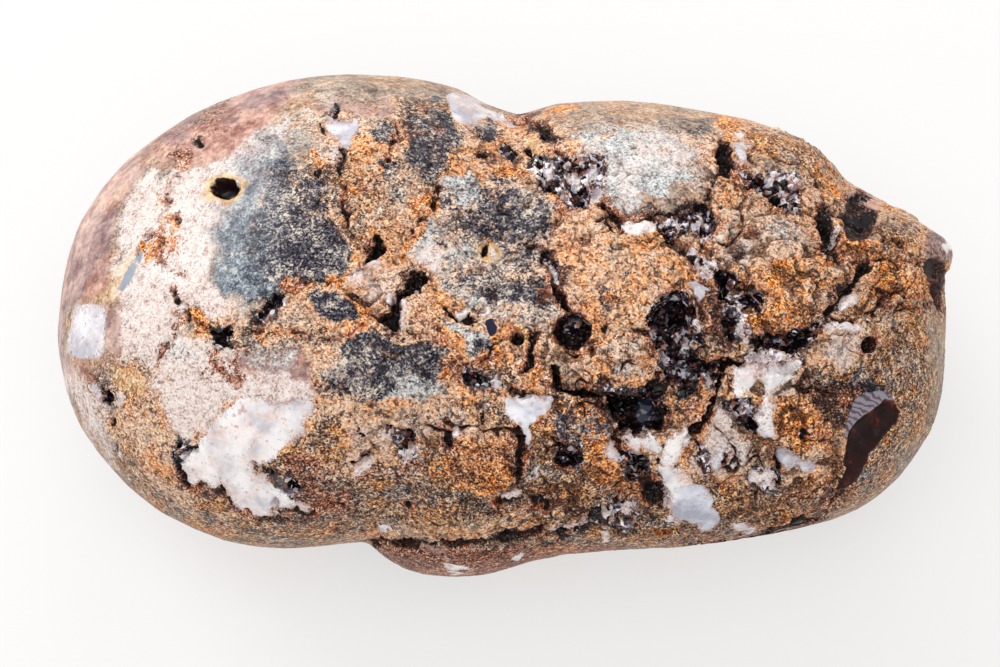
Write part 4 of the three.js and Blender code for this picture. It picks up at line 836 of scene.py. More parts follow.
    ("umber_shade", 0.6, 8, L_(11, (343, 188), (346, 222), (374, 246))),
    ("umber_shade", 0.6, 8, P_((314, 162), (346, 146), (348, 176), (324, 188))),
    ("umber_shade", 0.7, 8, L_(12, (246, 330), (268, 312), (285, 293))),
    ("umber_shade", 0.6, 8, P_((204, 320), (236, 324), (236, 352), (210, 354))),
    ("umber_shade", 0.8, 7, L_(12, (178, 446), (179, 482), (228, 500), (262, 521), (312, 514))),
    ("umber_shade", 0.7, 8, E(272, 474, 16, 8, 10)),
    ("umber_shade", 0.7, 7, L_(13, (518, 400), (521, 440), (519, 494))),
    ("umber_shade", 0.6, 8, E(448, 440, 11, 14, 0)), ("umber_shade", 0.6, 8, E(408, 440, 15, 14, 0)),
    ("umber_shade", 0.6, 8, L_(13, (450, 362), (500, 372), (520, 392), (556, 396))),
    ("umber_shade", 0.5, 8, L_(11, (530, 330), (532, 360), (522, 374))),
    ("umber_shade", 0.45, 8, P_((742, 172), (776, 176), (798, 192), (800, 214), (772, 208), (754, 190))),
    ("umber_shade", 0.32, 10, P_((652, 228), (696, 244), (704, 270), (730, 284), (716, 300), (690, 280), (664, 246))),
    ("umber_shade", 0.6, 10, P_((556, 440), (584, 442), (584, 470), (558, 472))),
    ("umber_shade", 0.35, 10, P_((770, 444), (784, 450), (786, 492), (768, 492))),
    ("umber_shade", 0.6, 8, L_(12, (608, 396), (618, 430), (634, 460), (652, 478))),
    ("umber_shade", 0.5, 8, L_(9, (872, 304), (905, 309), (940, 306))),
    ("rust", 1.0, 6, P_((935, 256), (948, 260), (951, 280), (947, 302), (941, 320), (937, 300), (933, 280))),
    # evening out of the broad tones
    ("gold", 0.36, 20, P_((298, 164), (345, 170), (345, 232), (318, 234), (298, 220))),
    ("dark", 0.30, 22, P_((296, 180), (342, 184), (366, 226), (366, 256), (340, 256), (300, 236))),
    ("ochre", 0.28, 20, P_((350, 408), (450, 398), (500, 402), (506, 440), (430, 448), (352, 436))),
    ("dark", 0.38, 16, P_((266, 464), (330, 470), (350, 498), (300, 508), (276, 500))),
    ("umber_shade", 0.34, 16, P_((262, 462), (300, 468), (345, 500), (320, 514), (280, 502))),
    ("ochre", 0.55, 14, P_((718, 178), (742, 184), (762, 210), (764, 262), (722, 262), (722, 210))),
    ("ochre", 0.45, 16, P_((640, 226), (690, 246), (706, 266), (690, 284), (650, 270))),
    ("tan", 0.5, 10, P_((704, 404), (738, 410), (754, 432), (758, 460), (744, 478), (716, 478), (706, 450))),
    ("orange", 0.5, 12, P_((836, 240), (866, 242), (876, 262), (862, 276), (840, 270))),
    ("orange", 0.3, 18, P_((600, 284), (656, 284), (660, 346), (610, 346))),
    ("orange", 0.45, 16, P_((598, 446), (650, 470), (640, 506), (600, 500))),
    ("umber_shade", 0.6, 12, P_((924, 222), (957, 234), (957, 262), (920, 258))),
    ("grey", 0.34, 26, P_((262, 96), (336, 90), (342, 116), (336, 150), (290, 146))),
    ("slate", 0.24, 26, P_((118, 158), (150, 122), (206, 98), (262, 96), (262, 122), (206, 140), (150, 164))),
    ("umber_shade", 0.42, 12, P_((402, 118), (440, 108), (466, 131), (452, 168), (425, 178), (402, 152))),
    ("gold", 0.34, 20, P_((345, 165), (400, 165), (404, 232), (368, 262), (345, 256))),
    # the pale fan and the beige lobes right of the middle
    ("ochre", 0.5, 10, P_((722, 396), (736, 414), (750, 426), (765, 443), (758, 462), (739, 473), (716, 476), (708, 450), (710, 420))),
    ("pale", 0.78, 12, P_((721, 396), (734, 412), (748, 426), (762, 443), (756, 460), (739, 471), (716, 474), (708, 450), (710, 420))),
    ("grey", 0.26, 12, P_((722, 424), (740, 426), (748, 446), (744, 466), (726, 468), (718, 446))),
    ("dark", 0.3, 10, P_((722, 430), (742, 432), (748, 450), (742, 464), (726, 462), (720, 446))),
    ("gold", 0.55, 6, L_(7, (729, 412), (740, 426), (752, 444), (751, 458))),
    ("umber_shade", 0.5, 8, P_((754, 444), (768, 446), (772, 466), (756, 468))),
    ("ochre", 0.6, 14, P_((710, 230), (745, 228), (754, 262), (724, 268), (708, 256))),
    ("pale", 0.42, 16, P_((710, 232), (745, 228), (752, 262), (722, 268), (708, 256))),
    ("grey", 0.34, 22, P_((716, 202), (768, 204), (776, 262), (752, 274), (716, 266))),
    ("pale", 0.24, 20, P_((748, 206), (780, 212), (780, 262), (754, 268))),
    ("ochre", 0.8, 14, P_((862, 250), (900, 250), (904, 292), (856, 294), (852, 288), (864, 268))),
    ("orange", 0.6, 16, P_((862, 250), (900, 250), (904, 292), (856, 294), (852, 288), (864, 268))),
    ("ochre", 0.5, 18, P_((776, 250), (852, 250), (850, 272), (820, 276), (818, 290), (776, 292))),
    ("ochre", 0.62, 14, P_((346, 418), (392, 420), (394, 462), (346, 462))),
    ("pale", 0.42, 18, P_((346, 418), (392, 420), (394, 462), (346, 462))),
    ("grey", 0.26, 24, P_((392, 402), (490, 402), (490, 440), (392, 440))),
    ("rust", 0.5, 12, P_((266, 470), (292, 472), (350, 492), (345, 512), (312, 500), (286, 484))),
    # partly painted highlight: the pale of the sheen on the right lobe's top
    ("pale", 0.36, 16, E(587, 162, 28, 18, 0)),
    ("umber_shade", 0.95, 12, P_((804, 384), (862, 386), (850, 400), (850, 424), (826, 428), (818, 402))),
    ("pale", 0.45, 12, P_((690, 438), (712, 440), (716, 478), (696, 480))),
    ("pale", 0.2, 14, P_((776, 446), (800, 446), (800, 480), (776, 480))),
    ("pale", 0.22, 22, P_((58, 382), (110, 366), (172, 366), (172, 400), (150, 462), (100, 466))),
    # painted sheen over the polished left lobe, partly the slate mineral's own blue-grey
    ("slate", 0.46, 16, P_((236, 160), (262, 136), (290, 130), (294, 148), (274, 172), (258, 200), (246, 222), (222, 236), (216, 226), (232, 206))),
    ("slate", 0.26, 30, P_((186, 168), (240, 140), (262, 130), (262, 170), (236, 210), (206, 250), (182, 240))),
    # the top-left rim darkened with rust and dark brown; the dark brown is painted shade
    ("rust", 0.42, 20, P_((146, 118), (182, 98), (236, 92), (240, 128), (190, 140), (152, 144))),
    ("umber_shade", 0.36, 20, P_((146, 118), (182, 98), (236, 92), (240, 128), (190, 140), (152, 144))),
    ("grey", 0.14, 24, E(145, 208, 26, 32, 0)),
    ("rust", 0.3, 18, P_((200, 350), (290, 350), (290, 386), (200, 386))),
    ("rust", 0.42, 10, E(470, 560, 96, 12, 0)),
    ("umber_shade", 0.3, 10, E(470, 562, 96, 10, 0)),
    ("ochre", 0.26, 24, P_((856, 308), (930, 308), (930, 382), (860, 382))),
    ("ochre", 0.3, 14, P_((828, 322), (866, 324), (866, 352), (830, 352))),
    ("dark", 0.3, 18, P_((560, 404), (612, 404), (612, 442), (560, 442))),
    ("tan", 0.34, 18, P_((108, 130), (160, 126), (164, 166), (112, 176))),
    ("rust", 0.55, 12, P_((268, 482), (290, 486), (352, 494), (350, 514), (316, 508), (296, 500))),
    ("umber_shade", 0.4, 12, P_((262, 470), (290, 474), (350, 488), (345, 512), (300, 502), (276, 488))),
    ("dark", 0.3, 14, E(614, 120, 30, 12, 0)),
    ("ochre", 0.5, 12, P_((340, 526), (430, 528), (520, 520), (560, 516), (556, 530), (500, 538), (430, 542), (344, 540))),
    ("tan", 0.5, 8, P_((374, 535), (416, 538), (414, 545), (376, 543))),
    ("ochre", 0.3, 14, P_((746, 304), (820, 302), (820, 326), (746, 330))),
    ("umber_shade", 0.5, 12, P_((820, 272), (850, 268), (848, 298), (822, 302))),
    ("ochre", 0.5, 18, P_((556, 218), (602, 216), (604, 262), (560, 262))),
    ("pale", 0.24, 22, P_((556, 216), (606, 214), (610, 262), (560, 264))),
    ("gold", 0.42, 16, P_((298, 328), (342, 330), (342, 350), (298, 350))),
    ("gold", 0.3, 16, P_((230, 328), (300, 328), (300, 350), (230, 350))),
    ("dark", 0.3, 18, P_((395, 150), (442, 150), (442, 200), (395, 200))),
    ("dark", 0.3, 18, P_((470, 130), (532, 132), (532, 170), (474, 170))),
    ("umber_shade", 0.3, 16, P_((560, 364), (602, 366), (602, 386), (560, 384))),
]

# Hard-edged inclusions: (kind, blueness 0..1, warmth 0..1, shape). Kinds: quartz, plate (quartz with straight edges),
# slate (solid blue-grey), glass (dark resinous). Some small quartz patches are painted glints, marked below.
SOLIDS = [
    ("plate", 0.55, 0.1, P_((76, 303), (92, 303), (108, 305), (106.5, 325), (105, 345), (103.5, 359), (85, 360), (65, 360), (67, 340), (71, 322))),
    ("slate", 0.35, 0, P_((143, 248), (143, 258), (139, 268), (133, 279), (125, 290), (117.5, 298), (119, 287), (118.5, 277), (126, 270), (133, 262), (137, 253))),
    ("quartz", 0.1, 0.3, E(79, 275, 4.5, 3)),
    ("quartz", 0.1, 0.2, E(181.5, 305, 2.6, 3)),
    ("quartz", 0.1, 0.1, P_((183, 325), (188, 334), (178, 345), (167, 342), (176, 334))),
    ("quartz", 0.2, 0.1, P_((90, 381), (95, 382), (101, 400), (98, 402), (92, 393))),
    ("quartz", 0.2, 0.1, P_((117, 393), (125, 394), (124, 402), (118, 412), (113, 415), (115, 403))),
    ("quartz", 0.35, 0.3, P_((200, 440), (190, 453), (183, 461), (182, 472), (187, 480), (192, 484), (200, 482), (206, 487), (214, 490), (221, 484), (227, 492),
                             (229, 500), (236, 505), (243, 510), (250, 516), (258, 519), (266, 519), (274, 514), (279, 510), (285, 508), (295, 508), (308, 511),
                             (311, 504), (303, 500), (295, 498), (287, 494), (280, 488), (272, 483), (263, 479), (255, 472), (253, 464), (261, 464), (270, 467), (279, 458), (286, 447), (293, 438),
                             (303, 434), (306, 424), (313, 416), (319, 405), (314, 398), (300, 398), (285, 402), (262, 396), (244, 396), (228, 404), (219, 413), (214, 424), (205, 432))),
    ("quartz", 0.6, 0.05, P_((327, 116), (335, 119), (344, 122), (350, 118), (356, 119), (361, 125), (356, 132), (350, 138), (348, 149), (342, 149), (338, 141), (334, 143), (331, 138), (328, 130))),
    ("quartz", 0.65, 0.45, P_((446, 97), (455, 91), (466, 93), (478, 102), (487, 108), (497, 110), (503, 112), (506, 120), (500, 125), (494, 119), (484, 118), (478, 122),
                             (472, 131), (466, 133), (462, 126), (455, 119), (449, 110))),
    ("quartz", 0.1, 0.1, E(513, 125.5, 5, 2.6, 10)),
    ("quartz", 0.2, 0.1, P_((456, 309), (460, 309), (466, 316), (463, 318), (457, 313))),
    # painted highlight: a glint
    ("quartz", 0.2, 0.1, E(417.5, 288.5, 2.4, 2.6)),
    ("quartz", 0.3, 0.2, P_((480, 316), (486, 308), (491, 303), (492, 312), (487, 319), (481, 321))),
    ("glass", 1.0, 0, P_((484, 322), (492, 319), (497, 326), (496, 334), (490, 336), (485, 330))),
    ("quartz", 0.2, 0.2, P_((386, 296), (391, 291), (394, 297), (391, 304), (387, 302))),
    ("quartz", 0.3, 0.15, P_((400, 299), (406, 300), (407, 310), (403, 318), (409, 326), (404, 332), (401, 324), (398, 315), (401, 308))),
    ("quartz", 0.3, 0.1, P_((366, 259), (382, 259), (380, 263), (368, 265))),
    ("quartz", 0.2, 0.2, P_((491, 379), (497, 376), (501, 384), (496, 390), (491, 386))),
    # painted highlight: a glint
    ("quartz", 0.1, 0.1, E(455.5, 434, 2.6, 4)),
    ("quartz", 0.1, 0.35, P_((350, 470), (358, 466), (364, 457), (370, 455), (368, 468), (360, 475), (352, 476))),
    # painted highlight: a glint below the hole at (408, 440)
    ("quartz", 0.4, 0.1, P_((404, 452), (410, 447), (414, 442), (415, 450), (410, 459), (405, 458))),
    ("quartz", 0.75, 0.2, P_((499, 398), (520, 396), (545, 394), (552, 400), (543, 414), (531, 425), (529, 440), (527, 455), (523, 442), (520, 430), (512, 423), (505, 412))),
    ("quartz", 0.2, 0.3, P_((500, 496), (512, 492), (522, 490), (518, 498), (504, 500))),
    ("quartz", 0.2, 0.5, P_((540, 530), (560, 527), (580, 521), (590, 516), (588, 522), (572, 530), (550, 534))),
    ("quartz", 0.0, 0.2, P_((436, 560), (452, 560), (464, 564), (471, 571), (456, 574), (443, 569))),
    ("quartz", 0.0, 0.7, E(519, 557, 6, 2.8, -20)),
    ("quartz", 0.4, 0.3, P_((378, 522), (388, 524), (394, 530), (388, 534), (380, 530))),
    ("quartz", 0.1, 0.1, E(571, 172, 7, 4.5, -15)),
    ("quartz", 0.3, 0.1, P_((590, 190), (600, 186), (602, 194), (598, 203), (592, 205), (588, 198))),
    # painted highlight: a glint on the black crystals
    ("quartz", 0.5, 0.0, E(548, 171, 4, 6, 20)),
    ("quartz", 0.5, 0.0, P_((590, 166), (598, 168), (600, 176), (593, 180), (588, 174))),
    # painted highlight: glints in the striped crevice
    ("quartz", 0.4, 0.0, P_((545, 262), (550, 261), (556, 272), (559, 282), (556, 286), (551, 276))),
    ("quartz", 0.6, 0.0, P_((715, 451), (722, 449), (725, 458), (722, 470), (717, 477), (713, 465))),
    ("quartz", 0.1, 0.3, P_((620, 223), (632, 219), (650, 220), (660, 225), (656, 231), (642, 234), (637, 239), (630, 236))),
    ("quartz", 0.4, 0.0, P_((667, 215), (672, 215), (673, 228), (668, 231), (665, 224))),
    ("quartz", 0.3, 0.1, P_((684, 247), (696, 249), (699, 256), (694, 255), (686, 251))),
    ("quartz", 0.2, 0.1, P_((700, 262), (708, 266), (712, 274), (706, 276), (701, 270))),
    ("quartz", 0.2, 0.1, E(738.5, 135, 4.6, 3.4, -15)),
    ("quartz", 0.2, 0.1, E(722, 134, 3.4, 2)),
    ("quartz", 0.6, 0.15, P_((735, 141), (743, 142), (748, 152), (745, 162), (737, 160), (734, 150))),
    ("quartz", 0.4, 0.1, P_((776, 186), (784, 188), (797, 196), (796, 202), (784, 198), (777, 194))),
    ("quartz", 0.3, 0.1, P_((788, 206), (798, 208), (800, 214), (792, 213))),
    ("quartz", 0.1, 0.0, P_((836, 219), (841, 222), (842, 228), (838, 233), (833, 235), (837, 229), (838, 224))),
    ("quartz", 0.7, 0.1, P_((690, 282), (698, 280), (708, 288), (709, 294), (702, 300), (695, 294))),
    ("quartz", 0.2, 0.2, E(493.5, 254, 2.6, 4, 0)),
    ("quartz", 0.4, 0.0, P_((662, 354), (668, 358), (674, 366), (668, 366), (662, 360))),
    ("quartz", 0.4, 0.1, P_((740, 300), (745, 302), (743, 316), (739, 326), (741, 334), (748, 340), (744, 344), (736, 334), (736, 318))),
    ("quartz", 0.6, 0.0, P_((702, 373), (707, 372), (712, 384), (709, 392), (704, 386))),
    ("quartz", 0.15, 0.3, P_((733, 368), (745, 362), (756, 366), (756, 378), (748, 396), (736, 400), (731, 388))),
    ("quartz", 0.3, 0.1, P_((762, 366), (790, 360), (800, 364), (792, 378), (780, 388), (772, 396), (764, 392), (760, 380))),
    ("quartz", 0.2, 0.15, P_((764, 396), (772, 394), (773, 410), (776, 426), (774, 438), (764, 441), (757, 432), (757, 418), (762, 408))),
    ("quartz", 0.3, 0.1, P_((747, 350), (764, 354), (776, 360), (768, 364), (752, 360))),
    ("quartz", 0.1, 0.25, P_((848, 292), (856, 291), (863, 298), (858, 303), (848, 306), (840, 314), (838, 306))),
    ("quartz", 0.1, 0.15, P_((822, 328), (838, 322), (852, 320), (856, 327), (850, 332), (838, 331), (828, 334))),
    ("quartz", 0.6, 0.1, P_((776, 451), (786, 452), (800, 459), (812, 460), (815, 466), (808, 473), (798, 468), (788, 470), (779, 464))),
    ("quartz", 0.3, 0.4, P_((622, 437), (628, 433), (640, 440), (652, 436), (662, 439), (664, 448), (660, 456), (652, 452), (645, 447), (640, 449), (644, 458), (637, 452), (628, 444))),
    ("quartz", 0.4, 0.3, P_((606, 444), (612, 441), (618, 450), (624, 456), (618, 463), (610, 460))),
    ("quartz", 0.1, 0.15, P_((662, 452), (668, 442), (676, 434), (686, 429), (693, 434), (691, 443), (683, 449), (679, 460), (672, 468), (664, 462))),
    ("quartz", 0.1, 0.7, P_((660, 472), (668, 468), (680, 470), (688, 478), (696, 486), (688, 488), (676, 482), (668, 480))),
    ("quartz", 0.15, 0.1, P_((660, 468), (672, 466), (684, 474), (690, 486), (680, 492), (674, 502), (672, 514), (666, 506), (664, 490))),
    ("quartz", 0.9, 0.0, P_((674, 484), (684, 482), (694, 485), (703, 486), (710, 492), (713, 500), (711, 507), (719, 511), (722, 520), (716, 526), (710, 532), (700, 528), (689, 523), (679, 519), (672, 512), (670, 500))),
    ("quartz", 0.5, 0.0, P_((716, 446), (721, 444), (723, 460), (720, 476), (716, 474), (718, 460))),
    ("quartz", 0.1, 0.45, P_((621, 508), (628, 503), (638, 502), (634, 509), (626, 513))),
    ("quartz", 0.0, 0.3, P_((600, 508), (606, 510), (612, 516), (617, 524), (614, 528), (610, 520), (603, 514))),
    ("quartz", 0.0, 0.3, P_((602, 532), (608, 532), (611, 539), (606, 540))),
    ("quartz", 0.3, 0.3, P_((664, 518), (674, 516), (678, 521), (668, 522))),
    ("quartz", 0.5, 0.3, P_((730, 524), (744, 520), (756, 528), (750, 535), (738, 533))),
    ("quartz", 0.4, 0.3, P_((536, 462), (540, 464), (541, 476), (537, 480), (534, 470))),
    ("quartz", 0.4, 0.5, P_((944, 241), (950, 239), (955, 246), (951, 253), (945, 251))),
    ("quartz", 0.1, 0.3, P_((752, 470), (760, 468), (763, 480), (758, 488), (752, 482))),
    ("quartz", 0.1, 0.3, P_((764, 472), (771, 474), (772, 484), (766, 486))),
    ("slate", 0.2, 1.0, P_((893, 399), (880, 390), (866, 393), (855, 401), (849, 412), (847, 424), (846, 440), (852, 447), (858, 431), (865, 421), (875, 411), (888, 404))),
    ("glass", 0.0, 1.0, P_((884, 399), (894, 402), (898, 410), (896, 421), (889, 432), (880, 442), (871, 455), (864, 470), (857, 480), (848, 487),
                           (839, 492), (836, 488), (842, 477), (845, 462), (847, 445), (852, 430), (860, 420), (870, 411), (879, 404))),
    ("glass", 0.0, 0.5, E(225, 183, 11.5, 6.0, 6)),
    ("glass", 0.5, 0.1, P_((924, 262), (929, 262), (933, 278), (934, 297), (929, 292), (924, 276))),
    ("glass", 0.8, 0.0, P_((644, 400), (654, 398), (660, 408), (658, 424), (648, 430), (640, 420), (641, 408))),
    # painted highlights: two glints inside the hole at (225, 188)
    ("quartz", 0.1, 0.2, E(237.6, 184.5, 2.0, 3.2, 10)),
    ("quartz", 0.1, 0.2, E(228.5, 188.5, 2.0, 1.8)),
]

# Places lined with small crystals, whose pale cells are partly painted glints: (how densely, brightness shift, shape).
GEMS = [
    (1.0, 0.06, P_((666, 292), (680, 289), (694, 300), (698, 322), (704, 340), (702, 362), (700, 380), (690, 388), (664, 388), (656, 370), (660, 352), (648, 340), (646, 322), (652, 308))),
    (1.0, 0.26, P_((690, 316), (698, 320), (702, 336), (700, 352), (692, 356), (686, 342))),
    (1.0, 0.20, P_((664, 342), (680, 346), (690, 354), (684, 362), (668, 358))),
    (0.9, 0.22, P_((659, 350), (672, 354), (682, 362), (678, 376), (664, 376), (660, 362))),
    (1.0, 0.34, P_((694, 252), (708, 258), (722, 266), (716, 274), (704, 276), (697, 266))),
    (1.0, 0.0, P_((716, 262), (734, 268), (738, 282), (730, 300), (720, 296), (716, 280))),
    (0.9, 0.05, P_((724, 288), (742, 292), (744, 316), (742, 340), (728, 344), (722, 322))),
    (1.0, 0.42, P_((738, 288), (748, 292), (747, 312), (746, 326), (754, 340), (746, 346), (738, 334), (738, 312))),
    (1.0, -0.10, P_((746, 288), (760, 288), (764, 302), (758, 314), (747, 312))),
    (0.9, 0.0, P_((746, 336), (770, 335), (798, 331), (820, 321), (824, 329), (810, 343), (800, 355), (776, 352), (760, 350), (746, 348))),
    (0.9, 0.34, P_((744, 354), (770, 352), (800, 355), (808, 358), (800, 374), (780, 380), (762, 372), (746, 366))),
    (1.0, 0.12, P_((722, 398), (752, 398), (764, 410), (762, 428), (754, 436), (740, 424), (728, 412))),
    (0.9, 0.22, P_((742, 404), (756, 404), (760, 416), (750, 422), (742, 414))),
    (1.0, -0.07, P_((600, 386), (630, 388), (660, 390), (668, 410), (666, 432), (640, 438), (616, 430), (608, 408))),
    (0.6, 0.06, P_((662, 372), (700, 370), (700, 392), (684, 402), (668, 398))),
    (0.9, 0.2, P_((656, 226), (668, 218), (690, 212), (700, 202), (714, 206), (715, 228), (711, 238), (700, 238), (684, 234), (666, 236))),
    (1.0, 0.32, P_((664, 216), (674, 214), (676, 232), (668, 236))),
    (1.0, 0.02, P_((740, 170), (758, 174), (774, 176), (782, 186), (800, 192), (802, 212), (786, 216), (768, 204), (756, 192), (744, 182))),
    (1.0, 0.26, P_((768, 166), (790, 172), (800, 188), (802, 206), (790, 208), (778, 196), (770, 184))),
    (0.8, 0.2, P_((530, 148), (560, 156), (604, 158), (606, 176), (596, 200), (580, 210), (562, 200), (545, 190), (534, 180), (526, 162))),
    (0.9, 0.30, P_((586, 184), (600, 184), (606, 192), (600, 206), (590, 206))),
    (0.7, -0.05, P_((500, 138), (518, 148), (524, 160), (510, 158), (498, 150))),
    (0.7, -0.05, P_((556, 440), (582, 442), (584, 468), (560, 472), (552, 456))),
    (0.8, 0.05, P_((464, 366), (500, 374), (504, 390), (480, 390), (462, 382))),
    (0.7, 0.26, P_((698, 440), (710, 442), (714, 456), (712, 476), (706, 482), (698, 470), (694, 452))),
    (0.7, 0.0, P_((616, 444), (648, 454), (660, 464), (652, 482), (630, 486), (618, 470))),
    (0.7, 0.15, P_((744, 462), (776, 464), (784, 478), (776, 494), (752, 492), (744, 478))),
    (0.7, 0.1, P_((596, 500), (640, 494), (644, 512), (626, 534), (604, 530))),
    (0.8, 0.05, P_((380, 420), (416, 430), (420, 456), (404, 462), (392, 444))),
    (0.7, -0.02, E(573, 321, 14, 10, 0)),
    (0.7, 0.0, P_((696, 360), (728, 360), (722, 392), (704, 392))),
    (0.7, 0.05, P_((542, 250), (556, 258), (566, 290), (560, 296), (548, 274))),
    (0.4, 0.0, P_((500, 540), (560, 538), (600, 518), (600, 526), (570, 540), (510, 546))),
    (0.4, -0.1, P_((260, 470), (300, 476), (304, 494), (286, 498), (264, 486))),
    (0.6, 0.0, P_((172, 430), (196, 442), (188, 470), (176, 480), (170, 456))),
    (0.7, 0.0, P_((206, 320), (236, 326), (234, 352), (214, 354))),
    (0.6, 0.0, P_((250, 310), (290, 290), (292, 304), (262, 328), (246, 332))),
    (0.5, -0.1, P_((326, 106), (342, 104), (344, 114), (330, 115))),
    (0.6, -0.1, P_((92, 374), (112, 396), (114, 414), (98, 404))),
]

# Stained rims round holes and on the walls: (shape, strength) paints cream-ochre.
HALOS = [
    (E(225.2, 188.2, 18.4, 13.0, 6), 1.0), (E(229, 176.5, 12, 3.5, 10), 1.0), (E(489.5, 253, 12, 10, 0), 0.6), (E(517.5, 338.5, 11, 9, 0), 0.3),
    (E(533, 145, 8, 8, 0), 0.45),
    (L_(7, (134, 252), (124, 268), (117, 282), (114, 296)), 0.4), (E(128, 379, 20, 10, 20), 0.3), (E(104, 292, 12, 7, -20), 0.22),
]
# Dark linings and painted shade, besides the holes themselves: (shape).
BLACKS_AND_SHADE = [
    P_((845, 209), (858, 205), (879, 208), (873, 220), (862, 229), (850, 227), (845, 217)), E(200, 143.5, 4.2, 3.0, -30),
    L_(5, (849, 197), (859, 194), (869, 199)),
    L_(5, (866, 262), (852, 284), (836, 302), (824, 320)),
    P_((650, 380), (668, 386), (664, 400), (640, 398), (600, 392), (600, 386), (630, 388)),
    E(186, 451, 6, 5, -40),
    L_(4, (178, 448), (177, 462), (181, 476), (188, 486)),
    P_((270, 500), (277, 499), (281, 508), (277, 514), (271, 512)), L_(4, (284, 511), (298, 512), (312, 514)),
    L_(3.5, (378, 541), (400, 543), (430, 544), (470, 543), (497, 538), (512, 535), (545, 533), (560, 532), (578, 526), (590, 517)),
    P_((494, 537), (512, 532), (526, 536), (516, 543), (500, 546)), P_((556, 530), (567, 529), (567, 539), (557, 541)), P_((572, 528), (590, 518), (596, 516), (588, 530), (576, 534)),
    L_(5, (690, 548), (735, 543), (760, 537), (780, 527), (815, 520)),
    L_(4, (716, 176), (712, 190), (706, 200)),
    L_(4, (556, 398), (540, 397), (520, 394), (508, 390)),
    L_(5, (520, 440), (520, 462), (518, 482)),
    E(533, 146, 2.6, 2.6),
    E(829, 223, 7.5, 21, -14), P_((411, 269), (424, 273), (432, 280), (420, 290), (404, 300), (398, 296), (408, 284)), L_(3.5, (531, 331), (532, 348), (529, 364), (523, 373)), L_(3, (349, 464), (357, 464), (366, 452)),
    P_((213, 330), (219, 333), (226, 331), (231, 335), (226, 341), (228, 346), (221, 350), (216, 345), (211, 346), (214, 339)), L_(3, (551, 253), (556, 268)), E(555, 369, 4.5, 9, 8),
    E(642.5, 228, 2, 5), E(653, 224, 2, 2.4), E(677, 503, 3.5, 6, 10),
    L_(3, (932, 262), (935, 285), (939, 312)),
]


# ---------------------------------------------------------------- the mesh
def ball(level):
    t = (1 + 5**0.5) / 2
    v = np.array([[-1, t, 0], [1, t, 0], [-1, -t, 0], [1, -t, 0], [0, -1, t], [0, 1, t], [0, -1, -t], [0, 1, -t], [t, 0, -1], [t, 0, 1], [-t, 0, -1], [-t, 0, 1]], float)
    v /= np.linalg.norm(v, axis=1, keepdims=True)
    f = np.array([[0, 11, 5], [0, 5, 1], [0, 1, 7], [0, 7, 10], [0, 10, 11], [1, 5, 9], [5, 11, 4], [11, 10, 2], [10, 7, 6], [7, 1, 8],
                  [3, 9, 4], [3, 4, 2], [3, 2, 6], [3, 6, 8], [3, 8, 9], [4, 9, 5], [2, 4, 11], [6, 2, 10], [8, 6, 7], [9, 8, 1]])
    for _ in range(level):
        e = np.sort(np.concatenate([f[:, [0, 1]], f[:, [1, 2]], f[:, [2, 0]]]), axis=1).astype(np.int64)
        key = e[:, 0] * len(v) + e[:, 1]
        u, inv = np.unique(key, return_inverse=True)
        mid = v[u // len(v)] + v[u % len(v)]
        mid /= np.linalg.norm(mid, axis=1, keepdims=True)
        m = inv.reshape(3, -1).T + len(v)
        a, b, c = f.T
        ab, bc, ca = m.T
        f = np.concatenate([np.stack([a, ab, ca], 1), np.stack([b, bc, ab], 1), np.stack([c, ca, bc], 1), np.stack([ab, bc, ca], 1)])
        v = np.concatenate([v, mid])
    return v, f


def vertex_normals(P, f):
    n = np.cross(P[f[:, 1]] - P[f[:, 0]], P[f[:, 2]] - P[f[:, 0]])
    out = np.stack([sum(np.bincount(f[:, k], weights=n[:, j], minlength=len(P)) for k in range(3)) for j in range(3)], 1)
    return out / np.maximum(np.linalg.norm(out, axis=1, keepdims=True), 1e-12)


def mesh_from(name, P, f):
    me = bpy.data.meshes.new(name)
    me.vertices.add(len(P))
    me.vertices.foreach_set("co", (P * MM).astype(F).ravel())
    me.loops.add(len(f) * 3)
    me.loops.foreach_set("vertex_index", f.astype(np.int32).ravel())
    me.polygons.add(len(f))
    me.polygons.foreach_set("loop_start", np.arange(0, len(f) * 3, 3, dtype=np.int32))
    me.polygons.foreach_set("loop_total", np.full(len(f), 3, np.int32))
    me.update(calc_edges=True)
    me.validate()
    return me


def put(me, name, values):
    a = me.attributes.get(name) or me.attributes.new(name, "FLOAT", "POINT")
    a.data.foreach_set("value", np.ascontiguousarray(values, F))


def put_color(me, name, four):
    a = me.attributes.new(name, "FLOAT_COLOR", "POINT")
    a.data.foreach_set("color", np.ascontiguousarray(four, F).ravel())


def get(me, name):
    a = me.attributes[name]
    out = np.empty(len(me.vertices), F)
    a.data.foreach_get("value", out)
    return out


LEVEL = 8
dirs, faces = ball(LEVEL)
dirs = dirs + 0.28 * np.array([0, -CE, SE])
dirs /= np.linalg.norm(dirs, axis=1, keepdims=True)
dirs[:, 0] *= 0.72 + 0.28 * dirs[:, 0] ** 2
dirs /= np.linalg.norm(dirs, axis=1, keepdims=True)
base, vx, vy, zz = skin(dirs)
if np.dot(np.cross(base[faces[0, 1]] - base[faces[0, 0]], base[faces[0, 2]] - base[faces[0, 0]]), base[faces[0, 0]] - [0, 0, 8]) < 0:
    faces = faces[:, ::-1]
normal = vertex_normals(base, faces)

depth, facet, lump, calm, front = carve(base, vx, vy, zz)

